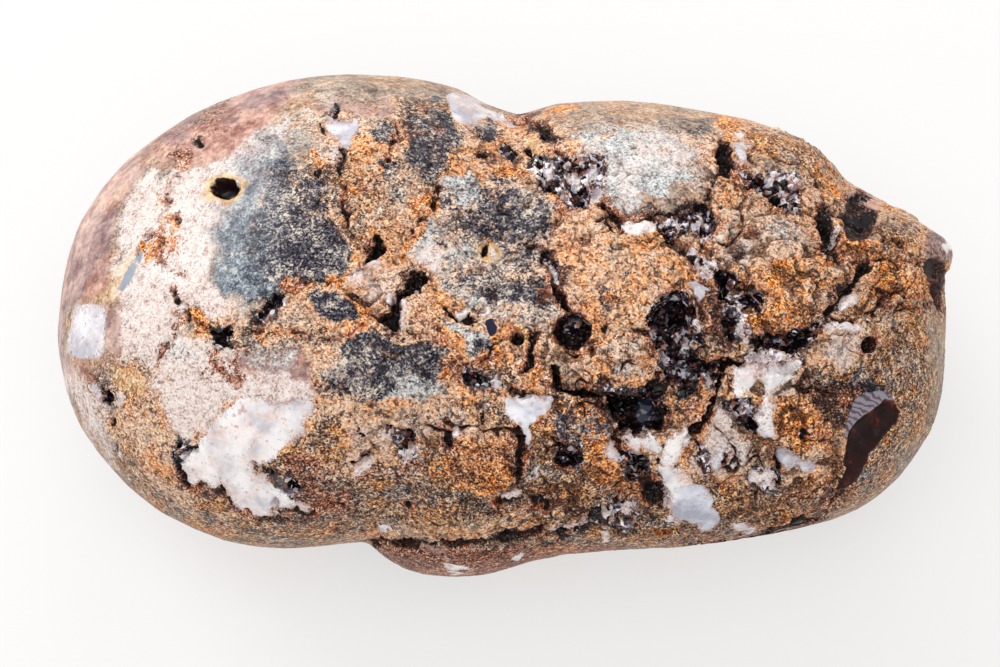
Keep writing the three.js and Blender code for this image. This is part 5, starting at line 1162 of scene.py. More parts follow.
# How rugged the skin is: the left lobe is polished smooth, the right one is a mass of worn blocks.
rough = 0.14 + 0.86 * ramp(440, 620, vx + 0.3 * (vy - 300)) * ramp(90, 190, vy)
rough *= 1 - 0.8 * ramp(1.15, 0.75, np.hypot((vx - 650) / 66, (vy - 166) / 44))
rough *= 1 - 0.45 * ramp(1.15, 0.8, np.hypot((vx - 618) / 60, (vy - 296) / 62))
rough *= 1 - 0.6 * ramp(838, 890, vx) * ramp(290, 330, vy)
rough = np.maximum(rough, 0.70 * ramp(350, 440, vx) * ramp(380, 430, vy) * ramp(560, 520, vy))
rough = np.maximum(rough, 0.55 * ramp(300, 345, vx) * ramp(120, 160, vy))
rough = np.maximum(rough, 0.45 * ramp(150, 190, vx) * ramp(430, 470, vy))
rough *= 1 - 0.75 * ramp(0.45, 0.15, zz)
back = 1 - front
rough = rough * front + back * (0.30 + 0.45 * ramp(-0.2, 0.4, noise(base, 9.0, 31)))

# The parts that the view doesn't reach: random cracks, pits and vugs of the same kinds.
f1, f2, _, _ = cells(base + 0.8 * np.stack([noise(base, 1.6, 41), noise(base, 1.6, 42), noise(base, 1.6, 43)], 1), 6.0, 44)
gap = (f2 - f1) * 6.0
sel = ramp(-0.05, 0.35, noise(base, 5.0, 45))
depth = np.maximum(depth, (0.30 * (1 - ramp(0.02, 0.22, gap)) * sel * back).astype(F))
g1, _, gr, _ = cells(base, 2.6, 46)
pit = (gr[:, 0] > 0.80) * ramp(0.0, 0.05, 0.10 + 0.13 * gr[:, 1] - g1 + 0.02 * noise(base, 0.5, 47))
depth = np.maximum(depth, (0.45 * pit * (0.4 + gr[:, 2]) * back).astype(F))
v1, _, vr, _ = cells(base + 0.5 * np.stack([noise(base, 1.1, 51), noise(base, 1.1, 52), noise(base, 1.1, 53)], 1), 6.5, 54)
vug = (vr[:, 0] > 0.72) * ramp(0.0, 0.07, 0.16 + 0.1 * vr[:, 1] - v1)
depth = np.maximum(depth, (0.75 * vug * back).astype(F))
facet = np.maximum(facet, (vug * back).astype(F))
# small worn pits, mostly in the rugged parts
p1, _, pr, _ = cells(base + 0.12 * np.stack([noise(base, 0.4, 55), noise(base, 0.4, 56), noise(base, 0.4, 57)], 1), 0.95, 58)
small = (pr[:, 0] < 0.12 + 0.5 * rough) * ramp(0.0, 0.12, 0.10 + 0.16 * pr[:, 1] - p1) * (0.3 + 0.7 * pr[:, 2])
depth = np.maximum(depth, (0.20 * small * ramp(0.1, 0.5, rough)).astype(F))
s1, s2, _, _ = cells(base + 0.7 * np.stack([noise(base, 1.5, 151), noise(base, 1.5, 152), noise(base, 1.5, 153)], 1) + 0.25 * np.stack([noise(base, 0.5, 154), noise(base, 0.5, 155), noise(base, 0.5, 156)], 1), 3.1, 157)
seam = (1 - ramp(0.02, 0.15, (s2 - s1) * 3.1)) * ramp(-0.02, 0.22, noise(base, 2.2, 158)) * ramp(0.35, 0.8, rough) * calm
depth = np.maximum(depth, (0.30 * seam).astype(F))
s1, s2, _, _ = cells(base + 0.4 * np.stack([noise(base, 0.8, 161), noise(base, 0.8, 162), noise(base, 0.8, 163)], 1), 1.5, 164)
seam = (1 - ramp(0.01, 0.09, (s2 - s1) * 1.5)) * ramp(0.0, 0.2, noise(base, 1.6, 165)) * ramp(0.45, 0.9, rough) * calm
depth = np.maximum(depth, (0.17 * seam).astype(F))
crease = depth.copy()

# Crystal facets inside the cavities, worn blocks, fine unevenness.
i = np.nonzero(facet > 0.02)[0]
for size, amount, seed in ((0.60, 0.75, 61), (0.27, 0.75, 62)):
    _, _, cr, cv = cells(base[i], size, seed)
    rise = ((cr - 0.5) * 2 * cv).sum(1) * amount + (cr[:, 0] - 0.5) * size * 0.45
    depth[i] -= facet[i] * rise
i = np.nonzero(rough > 0.2)[0]
b1, b2, br, bv = cells(base[i] + 0.35 * np.stack([noise(base[i], 0.9, 71), noise(base[i], 0.9, 72), noise(base[i], 0.9, 73)], 1), 1.35, 74)
block = ((br - 0.5) * bv).sum(1) * 0.28 - 0.15 * (1 - ramp(0.0, 0.16, b2 - b1)) * ramp(0.25, 0.6, br[:, 1])
out = np.zeros(len(base), F)
out[i] = (rough[i] - 0.2) / 0.8 * block
crag = 1 - np.abs(2.0 * noise(base, 0.85, 81)) + 0.5 * (1 - np.abs(2.0 * noise(base, 0.4, 82))) - 0.9
out += rough * (0.070 * crag + 0.030 * noise(base, 0.22, 84)) + 0.010 * noise(base, 1.8, 83)
out = out * calm + lump
shell = np.minimum(out - depth, 0.16 + 0.26 * front * ramp(0.15, 0.5, zz))
P = base + normal * shell[:, None]
P[:, 2] = np.maximum(P[:, 2], 0.0)
print("mesh made", len(P), round(time.time() - T0, 1))

dense = mesh_from("dense", P, faces)
put(dense, "vx", vx)
put(dense, "vy", vy)
put(dense, "zz", zz)
put(dense, "depth", np.maximum(depth, 0))
put(dense, "crease", crease)
put(dense, "facet", facet)
put(dense, "rough", rough)
put(dense, "high", np.where((zz > 0) & (np.hypot((vx - 846) / 16, (vy - 354) / 24) < 1), np.maximum(out - lump, -0.03), out - lump))
for k, ax in enumerate("xyz"):
    put(dense, "b" + ax, base[:, k])
holder = bpy.data.objects.new("dense", dense)
bpy.context.scene.collection.objects.link(holder)
dec = holder.modifiers.new("fewer", "DECIMATE")
dec.ratio = MAX_TRIANGLES / len(faces)
dec.use_collapse_triangulate = True
dg = bpy.context.evaluated_depsgraph_get()
me = bpy.data.meshes.new_from_object(holder.evaluated_get(dg), preserve_all_data_layers=True, depsgraph=dg)
bpy.data.objects.remove(holder)
bpy.data.meshes.remove(dense)
me.name = "stone"
print("kept", len(me.polygons), "triangles", round(time.time() - T0, 1))

# ---------------------------------------------------------------- minerals at the kept vertices
n = len(me.vertices)
X, Y, Z = get(me, "vx"), get(me, "vy"), get(me, "zz")
B = np.stack([get(me, "bx"), get(me, "by"), get(me, "bz")], 1)
deep = get(me, "crease")
fr = ramp(-0.30, -0.02, Z)
jx, jy = warps(B, 101, 9.0, 5.0, 2.0)
W = {m: np.zeros(n, F) for m in MINERALS}


def lay(mineral, m):
    for k in W:
        W[k] *= 1 - m
    if mineral != "ochre":
        W[mineral] += m


# Ground of the hidden parts: large soft domains of the same minerals.
hid = 1 - fr
big = fbm(B, 7.0, 111, 2)
lay("gold", hid * ramp(-0.35, 0.1, big + 0.15))
lay("dark", hid * 0.8 * ramp(0.08, 0.30, fbm(B, 3.2, 112, 3)))
lay("pale", hid * 0.8 * ramp(0.22, 0.42, fbm(B, 4.6, 113, 3)))
lay("mauve", hid * 0.8 * ramp(0.10, 0.35, noise(B, 9.0, 114) + 0.6 * ramp(-8, -16, B[:, 0])))
lay("grey", hid * 0.7 * ramp(0.24, 0.40, fbm(B, 4.0, 115, 2)))
lay("rust", hid * 0.6 * ramp(0.24, 0.42, fbm(B, 2.4, 116, 3)))
for mineral, strength, soft, shape in PAINT:
    soft = 1.35 * soft
    i = near(X, Y, fr, shape, soft + 12)
    if len(i):
        m = np.zeros(n, F)
        m[i] = strength * ramp(-soft / 2, soft / 2, shape_sd(X[i] + jx[i], Y[i] + jy[i], shape)) * fr[i]
        lay(mineral, m)

# The finish lays the minerals one over another in this order, so turn shares into coats.
cover = np.clip(1 - sum(W.values()), 0, 1)
for k in ("gold", "tan", "mauve", "pale", "grey", "dark", "rust", "orange", "umber_shade", "slate"):
    cover = cover + W[k]
    W[k] = W[k] / np.maximum(cover, 1e-4)

# Hard edges, in view units, positive inside.
jx2, jy2 = warps(B, 11, 3.8, 3.4, 2.4)
FAR = -30.0
edges = {k: np.full(n, FAR, F) for k in ("quartz", "slate", "glass", "black_and_shade", "gem")}
blue, warm = np.zeros(n, F), np.zeros(n, F)
for kind, b, w, shape in SOLIDS:
    i = near(X, Y, fr, shape, 10)
    if len(i):
        rag = 0.25 if kind == "plate" else 0.35 if kind != "quartz" or shape[0] == "e" or b >= 0.8 else 1.0
        kind = "quartz" if kind == "plate" else kind
        sd = shape_sd(X[i] + rag * jx2[i], Y[i] + rag * jy2[i], shape) - 6 * (1 - fr[i])
        x0, x1, y0, y1 = shape_box(shape, 0)
        if max(x1 - x0, y1 - y0) < 15:
            sd = 1.5 * sd + 1.2
        best = sd > edges[kind][i]
        edges[kind][i] = np.maximum(edges[kind][i], sd)
        c = best & (sd > -6)
        blue[i] = np.where(c, b, blue[i])
        warm[i] = np.where(c, w, warm[i])
patchy = ramp(-0.16, 0.16, noise(B, 1.3, 141))
stain = np.zeros(n, F)
# holes of 0.2 mm and deeper are painted black: partly their dark lining, partly painted shade
for shape, dp, wall, fac in HOLES:
    if dp < 0.2 or fac < 0:
        continue
    i = near(X, Y, fr, shape, 12)
    if len(i):
        rag = 1.0 if shape[0] == "p" else 0.6 if shape[3] > 17 else 0.3
        sd = shape_sd(X[i] + rag * jx2[i], Y[i] + rag * jy2[i], shape) - 6 * (1 - fr[i])
        edges["black_and_shade"][i] = np.maximum(edges["black_and_shade"][i], sd - 0.8)
        stain[i] = np.maximum(stain[i], ramp(-8, 0, sd) * ramp(480, 560, X[i] + 0.8 * (Y[i] - 250)) * patchy[i])
for dp, width, pts in CRACKS:
    i = near(X, Y, fr, L_(width, *pts), 12)
    if len(i):
        d = line_distance(X[i] + 1.25 * jx2[i], Y[i] + 1.25 * jy2[i], pts)
        stain[i] = np.maximum(stain[i], ramp(width / 2 + 5, width / 4, d) * min(1, 0.4 + 2.4 * dp) * (0.35 + 0.65 * patchy[i]) * fr[i])
for shape in BLACKS_AND_SHADE:
    i = near(X, Y, fr, shape, 10)
    if len(i):
        sd = shape_sd(X[i] + jx2[i], Y[i] + jy2[i], shape) - 6 * (1 - fr[i])
        edges["black_and_shade"][i] = np.maximum(edges["black_and_shade"][i], sd)
shine = np.zeros(n, F)
for density, shift, shape in GEMS:
    i = near(X, Y, fr, shape, 10)
    if len(i):
        sd = shape_sd(X[i] + jx2[i], Y[i] + jy2[i], shape) - 6 * (1 - fr[i]) - 5 * (1 - density)
        edges["gem"][i] = np.maximum(edges["gem"][i], sd)
        k = ramp(-2, 2, sd)
        shine[i] = shine[i] * (1 - k) + shift * k
# hidden side; the black in its deeper cuts is painted shade
q = fbm(B, 5.5, 121, 3)
edges["quartz"] = np.maximum(edges["quartz"], np.where(hid > 0.02, (q - 0.40) * 60 - 8 * fr, FAR))
edges["black_and_shade"] = np.maximum(edges["black_and_shade"], np.where(hid > 0.02, (deep - 0.22) * 20 - 8 * fr, FAR))
edges["gem"] = np.maximum(edges["gem"], np.where(hid > 0.02, (get(me, "facet") - 0.3) * 12 - 8 * fr, FAR))
blue = np.where(hid > 0.5, 0.3 + 0.3 * noise(B, 4, 122), blue)
warm = np.where(hid > 0.5, 0.3 + 0.3 * noise(B, 4, 123), warm)
stain = np.maximum(stain, ramp(0.02, 0.12, deep) * np.where(hid > 0.5, 1, 0.7 * patchy * ramp(480, 560, X)))
polish = 0.18 * ramp(1.25, 0.75, np.hypot((X - 215) / 75, (Y - 235) / 90)) + 0.6 * ramp(1.25, 0.8, np.hypot((X - 650) / 66, (Y - 170) / 44))
polish += 0.08 * ramp(1.3, 0.8, np.hypot((X - 140) / 50, (Y - 250) / 80))
polish = np.where(fr > 0, polish, 0) * fr + 0.5 * hid * ramp(0.0, 0.3, noise(B, 9.0, 131))
halo = np.zeros(n, F)
for shape, s in HALOS:
    i = near(X, Y, fr, shape, 8)
    halo[i] = np.maximum(halo[i], s * ramp(-1.2, 0.8, shape_sd(X[i] + 0.3 * jx2[i], Y[i] + 0.3 * jy2[i], shape)) * fr[i])

put_color(me, "mixA", np.stack([W["gold"], W["mauve"], W["pale"], W["tan"]], 1))
put_color(me, "mixB", np.stack([W["grey"], W["dark"], W["slate"], W["rust"]], 1))
put_color(me, "edge", np.stack([edges["quartz"], edges["slate"], edges["glass"], edges["black_and_shade"]], 1))
put_color(me, "tint", np.stack([blue, warm, halo, stain], 1))
put_color(me, "gem", np.stack([edges["gem"], shine, get(me, "high"), get(me, "rough")], 1))
put(me, "polish", polish)
put(me, "orange", W["orange"])
put(me, "umber_shade", W["umber_shade"])
facet_v = get(me, "facet")
for name in ("vx", "vy", "zz", "bx", "by", "bz", "high", "rough", "facet", "depth"):
    me.attributes.remove(me.attributes[name])

stone = bpy.data.objects.new("sphalerite_stone_surface", me)
bpy.context.scene.collection.objects.link(stone)
corner = np.empty(len(me.loops), np.int32)
me.loops.foreach_get("vertex_index", corner)
crystal = facet_v[corner].reshape(-1, 3).mean(1) > 0.3
me.polygons.foreach_set("use_smooth", ~crystal)
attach(stone, "root")
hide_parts("sphalerite_stone")
print("minerals placed", round(time.time() - T0, 1))


# ---------------------------------------------------------------- the finish
def lin(r, g, b):
    f = lambda c: c / 255 / 12.92 if c / 255 <= 0.04045 else ((c / 255 + 0.055) / 1.055) ** 2.4
    return (f(r), f(g), f(b), 1.0)


mat = bpy.data.materials.new("stone")
mat.use_nodes = True
nt = mat.node_tree
nt.nodes.clear()


def node(kind, **props):
    x = nt.nodes.new(kind)
    for k, v in props.items():
        setattr(x, k, v)
    return x


def feed(socket, value):
    if isinstance(value, bpy.types.NodeSocket):
        nt.links.new(value, socket)
    else:
        socket.default_value = value


def M(op, a, b=0.0, c=0.0, clamp=False):
    x = node("ShaderNodeMath", operation=op, use_clamp=clamp)
    feed(x.inputs[0], a)
    feed(x.inputs[1], b)
    feed(x.inputs[2], c)
    return x.outputs[0]


def step(x, lo, hi, out0=0.0, out1=1.0):
    m = node("ShaderNodeMapRange", interpolation_type="SMOOTHSTEP")
    feed(m.inputs[0], x)
    for k, v in zip((1, 2, 3, 4), (lo, hi, out0, out1)):
        feed(m.inputs[k], v)
    return m.outputs[0]


def mix(fac, a, b):
    x = node("ShaderNodeMix", data_type="RGBA")
    feed(x.inputs[0], fac)
    feed(x.inputs[6], a)
    feed(x.inputs[7], b)
    return x.outputs[2]


def mixf(fac, a, b):
    x = node("ShaderNodeMix", data_type="FLOAT")
    feed(x.inputs[0], fac)
    feed(x.inputs[2], a)
    feed(x.inputs[3], b)
    return x.outputs[0]


coord = node("ShaderNodeTexCoord")
scale = node("ShaderNodeVectorMath", operation="SCALE")
nt.links.new(coord.outputs["Object"], scale.inputs[0])
scale.inputs[3].default_value = 1000.0
MMS = scale.outputs[0]


def shifted(v):
    x = node("ShaderNodeVectorMath", operation="ADD")
    nt.links.new(MMS, x.inputs[0])
    x.inputs[1].default_value = v
    return x.outputs[0]


def tex(size, detail=2.0, rough=0.55, at=(0, 0, 0), distort=0.0, contrast=1.0):
    x = node("ShaderNodeTexNoise")
    nt.links.new(shifted(at), x.inputs["Vector"])
    x.inputs["Scale"].default_value = 1 / size
    x.inputs["Detail"].default_value = detail
    x.inputs["Roughness"].default_value = rough
    x.inputs["Distortion"].default_value = distort
    out = x.outputs["Fac"]
    if contrast != 1.0:
        out = M("MULTIPLY_ADD", M("SUBTRACT", out, 0.5), contrast, 0.5)
    return out


def grains(size, at=(0, 0, 0)):
    """Three random numbers, the same all over each small grain."""
    x = node("ShaderNodeTexVoronoi", feature="F1")
    nt.links.new(shifted(at), x.inputs["Vector"])
    x.inputs["Scale"].default_value = 1 / size
    s = node("ShaderNodeSeparateColor")
    nt.links.new(x.outputs["Color"], s.inputs[0])
    return s.outputs[0], s.outputs[1], s.outputs[2]


def vcol(name):
    a = node("ShaderNodeAttribute", attribute_name=name, attribute_type="GEOMETRY")
    s = node("ShaderNodeSeparateColor")
    nt.links.new(a.outputs["Color"], s.inputs[0])
    return s.outputs[0], s.outputs[1], s.outputs[2], a.outputs["Alpha"]


def vval(name):
    return node("ShaderNodeAttribute", attribute_name=name, attribute_type="GEOMETRY").outputs["Fac"]


def stops(fac, *items, sharp=False):
    x = node("ShaderNodeValToRGB")
    feed(x.inputs[0], fac)
    r = x.color_ramp
    if sharp:
        r.interpolation = "CONSTANT"
    while len(r.elements) > 1:
        r.elements.remove(r.elements[-1])
    r.elements[0].position, r.elements[0].color = items[0][0], lin(*items[0][1])
    for pos, c in items[1:]:
        r.elements.new(pos).color = lin(*c)
    return x.outputs[0]


def centred(*terms):
    """0.5 plus weighted departures from 0.5."""
    out = 0.5
    for x, k in terms:
        out = M("ADD", M("MULTIPLY", M("SUBTRACT", x, 0.5), k), out)
    return out


g1a, g1b, g1c = grains(0.070, (3, 1, 7))
g2a, g2b, g2c = grains(0.14, (31, 17, 5))
frac = tex(0.5, 5.0, 0.74, (12, 40, 2))
frac2 = tex(0.9, 4.0, 0.66, (55, 4, 21))
mid = tex(2.0, 2.0, 0.5, (5, 14, 71))
frac3 = tex(1.3, 4.0, 0.66, (23, 61, 14))
frac4 = tex(1.0, 4.0, 0.66, (7, 33, 90))
soft = tex(0.3, 2.0, 0.5, (66, 5, 38))
speck = centred((g1a, 0.72), (g2a, 0.20), (frac, 0.75), (mid, 0.2))
speck2 = centred((g1b, 0.36), (g2b, 0.30), (frac2, 1.2))
border = centred((g1c, 0.30), (g2c, 0.34), (frac2, 1.5), (mid, 0.6))

gold, mauve, pale, tan_ = vcol("mixA")
grey, dark, slate, rust = vcol("mixB")
e_quartz, e_slate, e_glass, e_black_and_shade = vcol("edge")
t_blue, t_warm, t_halo, t_stain = vcol("tint")
e_gem, gem_shift, high, rough_v = vcol("gem")
crease_v = vval("crease")

tanner = step(centred((g2c, 0.5), (mid, 2.2), (frac2, 0.8)), 0.38, 0.66)


def grainy(*seven, by=None):
    """Colours of a mineral's grains from its darkest to its palest."""
    return stops(by or speck, *zip((0.07, 0.24, 0.38, 0.5, 0.62, 0.76, 0.93), seven))


dusty = centred((g1a, 0.12), (soft, 0.8), (frac2, 1.1), (mid, 0.9))
peachy = centred((g1a, 0.52), (g2a, 0.16), (frac, 0.65), (frac3, 0.3))
worn = centred((g1a, 0.34), (g2a, 0.34), (frac, 1.0), (frac2, 0.8), (mid, 0.4))
silky = centred((g1a, 0.16), (g2a, 0.10), (frac, 0.7), (mid, 0.5))
powdery = centred((g1a, 0.40), (g2a, 0.16), (frac, 0.7), (frac3, 0.5))
flecked = centred((g1a, 0.50), (g2a, 0.22), (frac, 1.2), (frac3, 1.3))
blotch = step(centred((g1b, 0.30), (g2b, 0.24), (frac3, 2.0)), 0.58, 0.74)
fresh = step(centred((g1c, 0.30), (g2c, 0.30), (frac4, 2.0)), 0.60, 0.69)
tint_b = step(centred((g2b, 0.2), (tex(2.6, 4.0, 0.62, (12, 77, 31)), 2.4)), 0.40, 0.62)

BLUISH = grainy((16, 14, 24), (42, 40, 52), (72, 69, 78), (104, 98, 101), (138, 129, 124), (178, 163, 148), (222, 204, 182))
VIVID = grainy((36, 8, 1), (110, 45, 8), (178, 85, 15), (218, 112, 25), (244, 144, 49), (255, 187, 102), (255, 233, 182))
OCHRE = mix(tanner,
            grainy((80, 52, 44), (146, 110, 92), (192, 154, 128), (218, 178, 146), (232, 196, 164), (242, 212, 184), (250, 230, 210), by=peachy),
            grainy((64, 28, 14), (136, 80, 46), (192, 126, 80), (224, 154, 100), (240, 172, 116), (248, 194, 140), (252, 220, 182), by=peachy))
OCHRE = mix(M("MULTIPLY", blotch, 0.48), OCHRE, BLUISH)
OCHRE = mix(M("MULTIPLY", fresh, 0.5), OCHRE, VIVID)
# gold grains are kept dark: partly their own colour, partly painted shade of the lower flanks they cover
GOLD = mix(tanner,
           grainy((24, 14, 14), (60, 44, 40), (94, 72, 62), (132, 104, 87), (166, 136, 112), (202, 172, 145), (240, 214, 188)),
           grainy((24, 10, 6), (62, 34, 20), (100, 61, 34), (142, 91, 51), (178, 124, 73), (208, 157, 107), (242, 206, 164)))
GOLD = mix(M("MULTIPLY", blotch, 0.76), GOLD, BLUISH)
GOLD = mix(M("MULTIPLY", fresh, 0.5), GOLD, VIVID)
MAUVE = mix(tint_b,
            grainy((96, 72, 74), (126, 98, 98), (150, 120, 118), (168, 138, 132), (184, 154, 144), (200, 168, 156), (216, 188, 174), by=dusty),
            grainy((110, 66, 58), (142, 96, 84), (168, 122, 108), (190, 146, 130), (206, 164, 146), (220, 182, 160), (234, 202, 180), by=dusty))
PALE = grainy((104, 70, 62), (168, 136, 126), (204, 182, 173), (218, 201, 193), (225, 212, 206), (231, 221, 216), (238, 232, 228), by=powdery)
TAN = mix(tint_b,
          grainy((60, 50, 50), (98, 84, 78), (128, 112, 102), (150, 132, 118), (172, 152, 134), (194, 172, 150), (218, 196, 172), by=worn),
          grainy((76, 52, 42), (122, 92, 74), (154, 121, 98), (175, 141, 116), (192, 159, 131), (209, 179, 150), (226, 201, 174), by=worn))
GREY = grainy((74, 72, 76), (120, 119, 122), (156, 155, 155), (184, 183, 180), (204, 203, 199), (219, 218, 213), (236, 235, 230), by=centred((g1a, 0.56), (g2a, 0.16), (frac, 0.6), (mid, 0.2)))
DARK = grainy((5, 4, 10), (17, 15, 26), (36, 34, 48), (66, 63, 75), (112, 106, 109), (170, 158, 146), (222, 206, 184), by=flecked)
SLATE = grainy((24, 24, 30), (52, 55, 62), (76, 82, 90), (98, 106, 116), (128, 138, 148), (168, 172, 172), (220, 208, 184), by=centred((g1a, 0.34), (g2a, 0.22), (frac, 1.0), (frac3, 1.0)))
RUST = grainy((20, 7, 5), (58, 26, 18), (96, 50, 34), (132, 76, 52), (166, 106, 78), (200, 146, 120), (234, 194, 176))
# dark brown painted shade, flecked with rust
UMBER_SHADE = mix(M("MULTIPLY", fresh, 0.6), grainy((8, 4, 5), (22, 12, 12), (40, 23, 20), (62, 36, 29), (92, 58, 46), (134, 92, 74), (196, 156, 136)), RUST)
ORANGE = mix(M("MULTIPLY", blotch, 0.45), mix(step(tanner, 0.0, 1.0, 0.6, 1.0), OCHRE, VIVID), RUST)


def mask(w, noise_a, k=1.0):
    """A patch's weight with its border broken up by the grain."""
    spread = M("MULTIPLY", M("MULTIPLY", w, M("SUBTRACT", 1.0, w)), 4.0 * k)
    return step(M("ADD", w, M("MULTIPLY", M("SUBTRACT", noise_a, 0.5), spread)), 0.36, 0.64)


def blend(w, noise_a):
    """A patch's weight with a border half grainy and half soft."""
    return step(M("ADD", w, M("MULTIPLY", M("SUBTRACT", noise_a, 0.5), 0.8)), 0.22, 0.78)


def veil(w, noise_a):
    """A patch's weight, fading softly."""
    return step(M("ADD", w, M("MULTIPLY", M("SUBTRACT", noise_a, 0.5), 0.35)), 0.12, 0.88)


col = OCHRE
for w, c in ((gold, GOLD), (tan_, TAN), (mauve, MAUVE), (pale, PALE), (grey, GREY), (dark, DARK), (rust, RUST), (vval("orange"), ORANGE), (vval("umber_shade"), UMBER_SHADE), (slate, SLATE)):
    col = mix(veil(w, border) if c in (MAUVE, TAN, SLATE) else blend(w, border) if c in (PALE, GREY) else mask(w, border), col, c)
# the low places between the worn blocks are painted dark and rusty, partly dirt and partly painted shade, and stray
# grains lie everywhere
dirt_and_shade = stops(speck, (0.1, (12, 6, 6)), (0.3, (30, 15, 13)), (0.48, (56, 30, 22)), (0.64, (98, 56, 32)), (0.8, (150, 96, 60)), (0.94, (206, 160, 124)))
crust = stops(centred((g1b, 0.8), (g2b, 0.3), (frac2, 1.0)), (0.08, (22, 7, 5)), (0.26, (66, 25, 12)), (0.42, (120, 52, 22)), (0.56, (176, 88, 38)), (0.7, (212, 136, 88)), (0.82, (236, 186, 156)), (0.94, (246, 222, 208)))
low = step(M("ADD", high, M("MULTIPLY", M("SUBTRACT", border, 0.5), 0.10)), -0.055, -0.12)
col = mix(M("MULTIPLY", low, 0.8), col, dirt_and_shade)
dusted = M("MAXIMUM", M("MAXIMUM", mauve, tan_), M("MULTIPLY", pale, 0.8))
stray = tex(0.24, 2.0, 0.5, (81, 8, 33), contrast=2.0)
col = mix(M("MULTIPLY", step(M("ADD", stray, M("MULTIPLY", rough_v, 0.05)), 0.72, 0.78), M("SUBTRACT", 0.8, M("MULTIPLY", dusted, 0.62))), col, lin(38, 28, 29))
col = mix(M("MULTIPLY", t_halo, 0.9), col, stops(frac, (0.36, (186, 128, 62)), (0.5, (226, 186, 120)), (0.62, (242, 220, 176))))
# stained cracks and cavity edges, then painted shade that darkens each cut the more the deeper it is
col = mix(M("MULTIPLY", mask(t_stain, border, 1.3), 0.85), col, crust)
col = mix(step(M("ADD", crease_v, M("MULTIPLY", M("SUBTRACT", speck2, 0.5), 0.12)), 0.08, 0.20), col, stops(speck, (0.3, (18, 10, 10)), (0.55, (44, 22, 17)), (0.75, (92, 50, 34)), (0.92, (150, 110, 96))))

fray = M("MULTIPLY", M("SUBTRACT", speck2, 0.5), 6.0)
# black of holes and crevices: partly their dark lining, partly painted shade of the recess
black_and_shade_m = step(M("ADD", e_black_and_shade, fray), -0.6, 0.8)
black_and_shade_col = stops(speck, (0.3, (5, 3, 3)), (0.54, (12, 7, 7)), (0.68, (28, 15, 13)), (0.80, (60, 36, 30)), (0.93, (128, 108, 110)))
col = mix(black_and_shade_m, col, black_and_shade_col)

# linings of small crystals: a few pale or blue ones among black, brown and rusty ones; the pale ones are partly painted
# glints
s1a, s1b, _ = grains(0.20, (71, 3, 19))
s2a, s2b, _ = grains(0.46, (17, 53, 9))
pick = M("ADD", M("ADD", M("MULTIPLY", s1a, 0.5), M("MULTIPLY", s2a, 0.5)), M("ADD", gem_shift, 0.03))
gem_m = step(M("ADD", e_gem, M("MULTIPLY", M("SUBTRACT", border, 0.5), 7.0)), -0.8, 0.8)
gem_and_glint_col = stops(pick, (0.0, (10, 6, 7)), (0.30, (22, 12, 13)), (0.42, (12, 9, 13)), (0.50, (34, 27, 38)), (0.57, (66, 36, 32)), (0.62, (20, 13, 15)), (0.69, (116, 60, 34)),
                (0.73, (78, 66, 80)), (0.775, (150, 140, 152)), (0.815, (216, 208, 212)), (0.87, (176, 128, 110)), (0.90, (190, 188, 206)), (0.95, (242, 234, 232)), sharp=True)
col = mix(M("MULTIPLY", gem_m, step(s1b, 0.04, 0.10)), col, gem_and_glint_col)

fray_q = M("MULTIPLY", M("SUBTRACT", centred((g1b, 0.36), (g2b, 0.3), (frac2, 1.9)), 0.5), step(t_blue, 0.55, 0.8, 5.0, 2.5))
quartz_m = step(M("ADD", e_quartz, fray_q), -0.5, 0.6)
cloud = tex(1.5, 4.0, 0.6, (5, 66, 9), 0.2, contrast=2.0)
q_white = stops(cloud, (0.25, (198, 194, 200)), (0.45, (228, 221, 220)), (0.7, (243, 238, 235)))
q_blue = stops(cloud, (0.3, (158, 160, 174)), (0.5, (188, 190, 202)), (0.7, (214, 214, 222)))
q_warm = stops(cloud, (0.3, (206, 158, 134)), (0.5, (228, 194, 178)), (0.7, (240, 222, 212)))
q_col = mix(step(t_blue, 0.1, 0.95), q_white, q_blue)
q_col = mix(M("MULTIPLY", t_warm, step(frac2, 0.44, 0.58)), q_col, q_warm)
flaw = tex(0.34, 3.0, 0.6, (41, 3, 77), contrast=2.2)
q_col = mix(M("MULTIPLY", step(flaw, 0.72, 0.86), 0.6), q_col, lin(184, 132, 108))
q_col = mix(M("MULTIPLY", M("MULTIPLY", step(e_quartz, 3.5, 0.0), step(speck2, 0.46, 0.66)), 0.7), q_col, lin(150, 106, 90))
q_col = mix(M("MULTIPLY", step(centred((g1b, 0.6), (frac2, 1.5)), 0.70, 0.78), M("MULTIPLY", t_warm, 1.0)), q_col, crust)
q_col = mix(M("MULTIPLY", M("MULTIPLY", step(centred((g1a, 0.9), (g2b, 0.3), (frac, 1.0)), 0.88, 0.95), step(e_quartz, 12.0, 5.0)), step(t_blue, 0.5, 0.8, 0.45, 0.1)), q_col, lin(74, 54, 54))
rim_q = M("MULTIPLY", step(e_quartz, 7.0, 0.5), step(centred((g1c, 0.5), (g2a, 0.3), (frac, 1.4)), 0.54, 0.68))
q_col = mix(M("MULTIPLY", rim_q, step(t_blue, 0.5, 0.8, 0.75, 0.2)), q_col, stops(speck, (0.2, (120, 82, 78)), (0.5, (186, 150, 142)), (0.8, (222, 200, 192))))
col = mix(quartz_m, col, q_col)
slate_m = step(M("ADD", e_slate, M("MULTIPLY", fray, 0.2)), -0.4, 0.5)
wave = node("ShaderNodeTexWave", wave_type="BANDS", bands_direction="DIAGONAL")
nt.links.new(MMS, wave.inputs["Vector"])
wave.inputs["Scale"].default_value = 1.5
wave.inputs["Distortion"].default_value = 9.0
s_col = mix(step(t_warm, 0.6, 0.9), stops(cloud, (0.3, (128, 136, 148)), (0.7, (154, 161, 172))), stops(wave.outputs["Fac"], (0.1, (84, 68, 74)), (0.35, (124, 114, 124)), (0.8, (140, 132, 144))))
col = mix(slate_m, col, s_col)
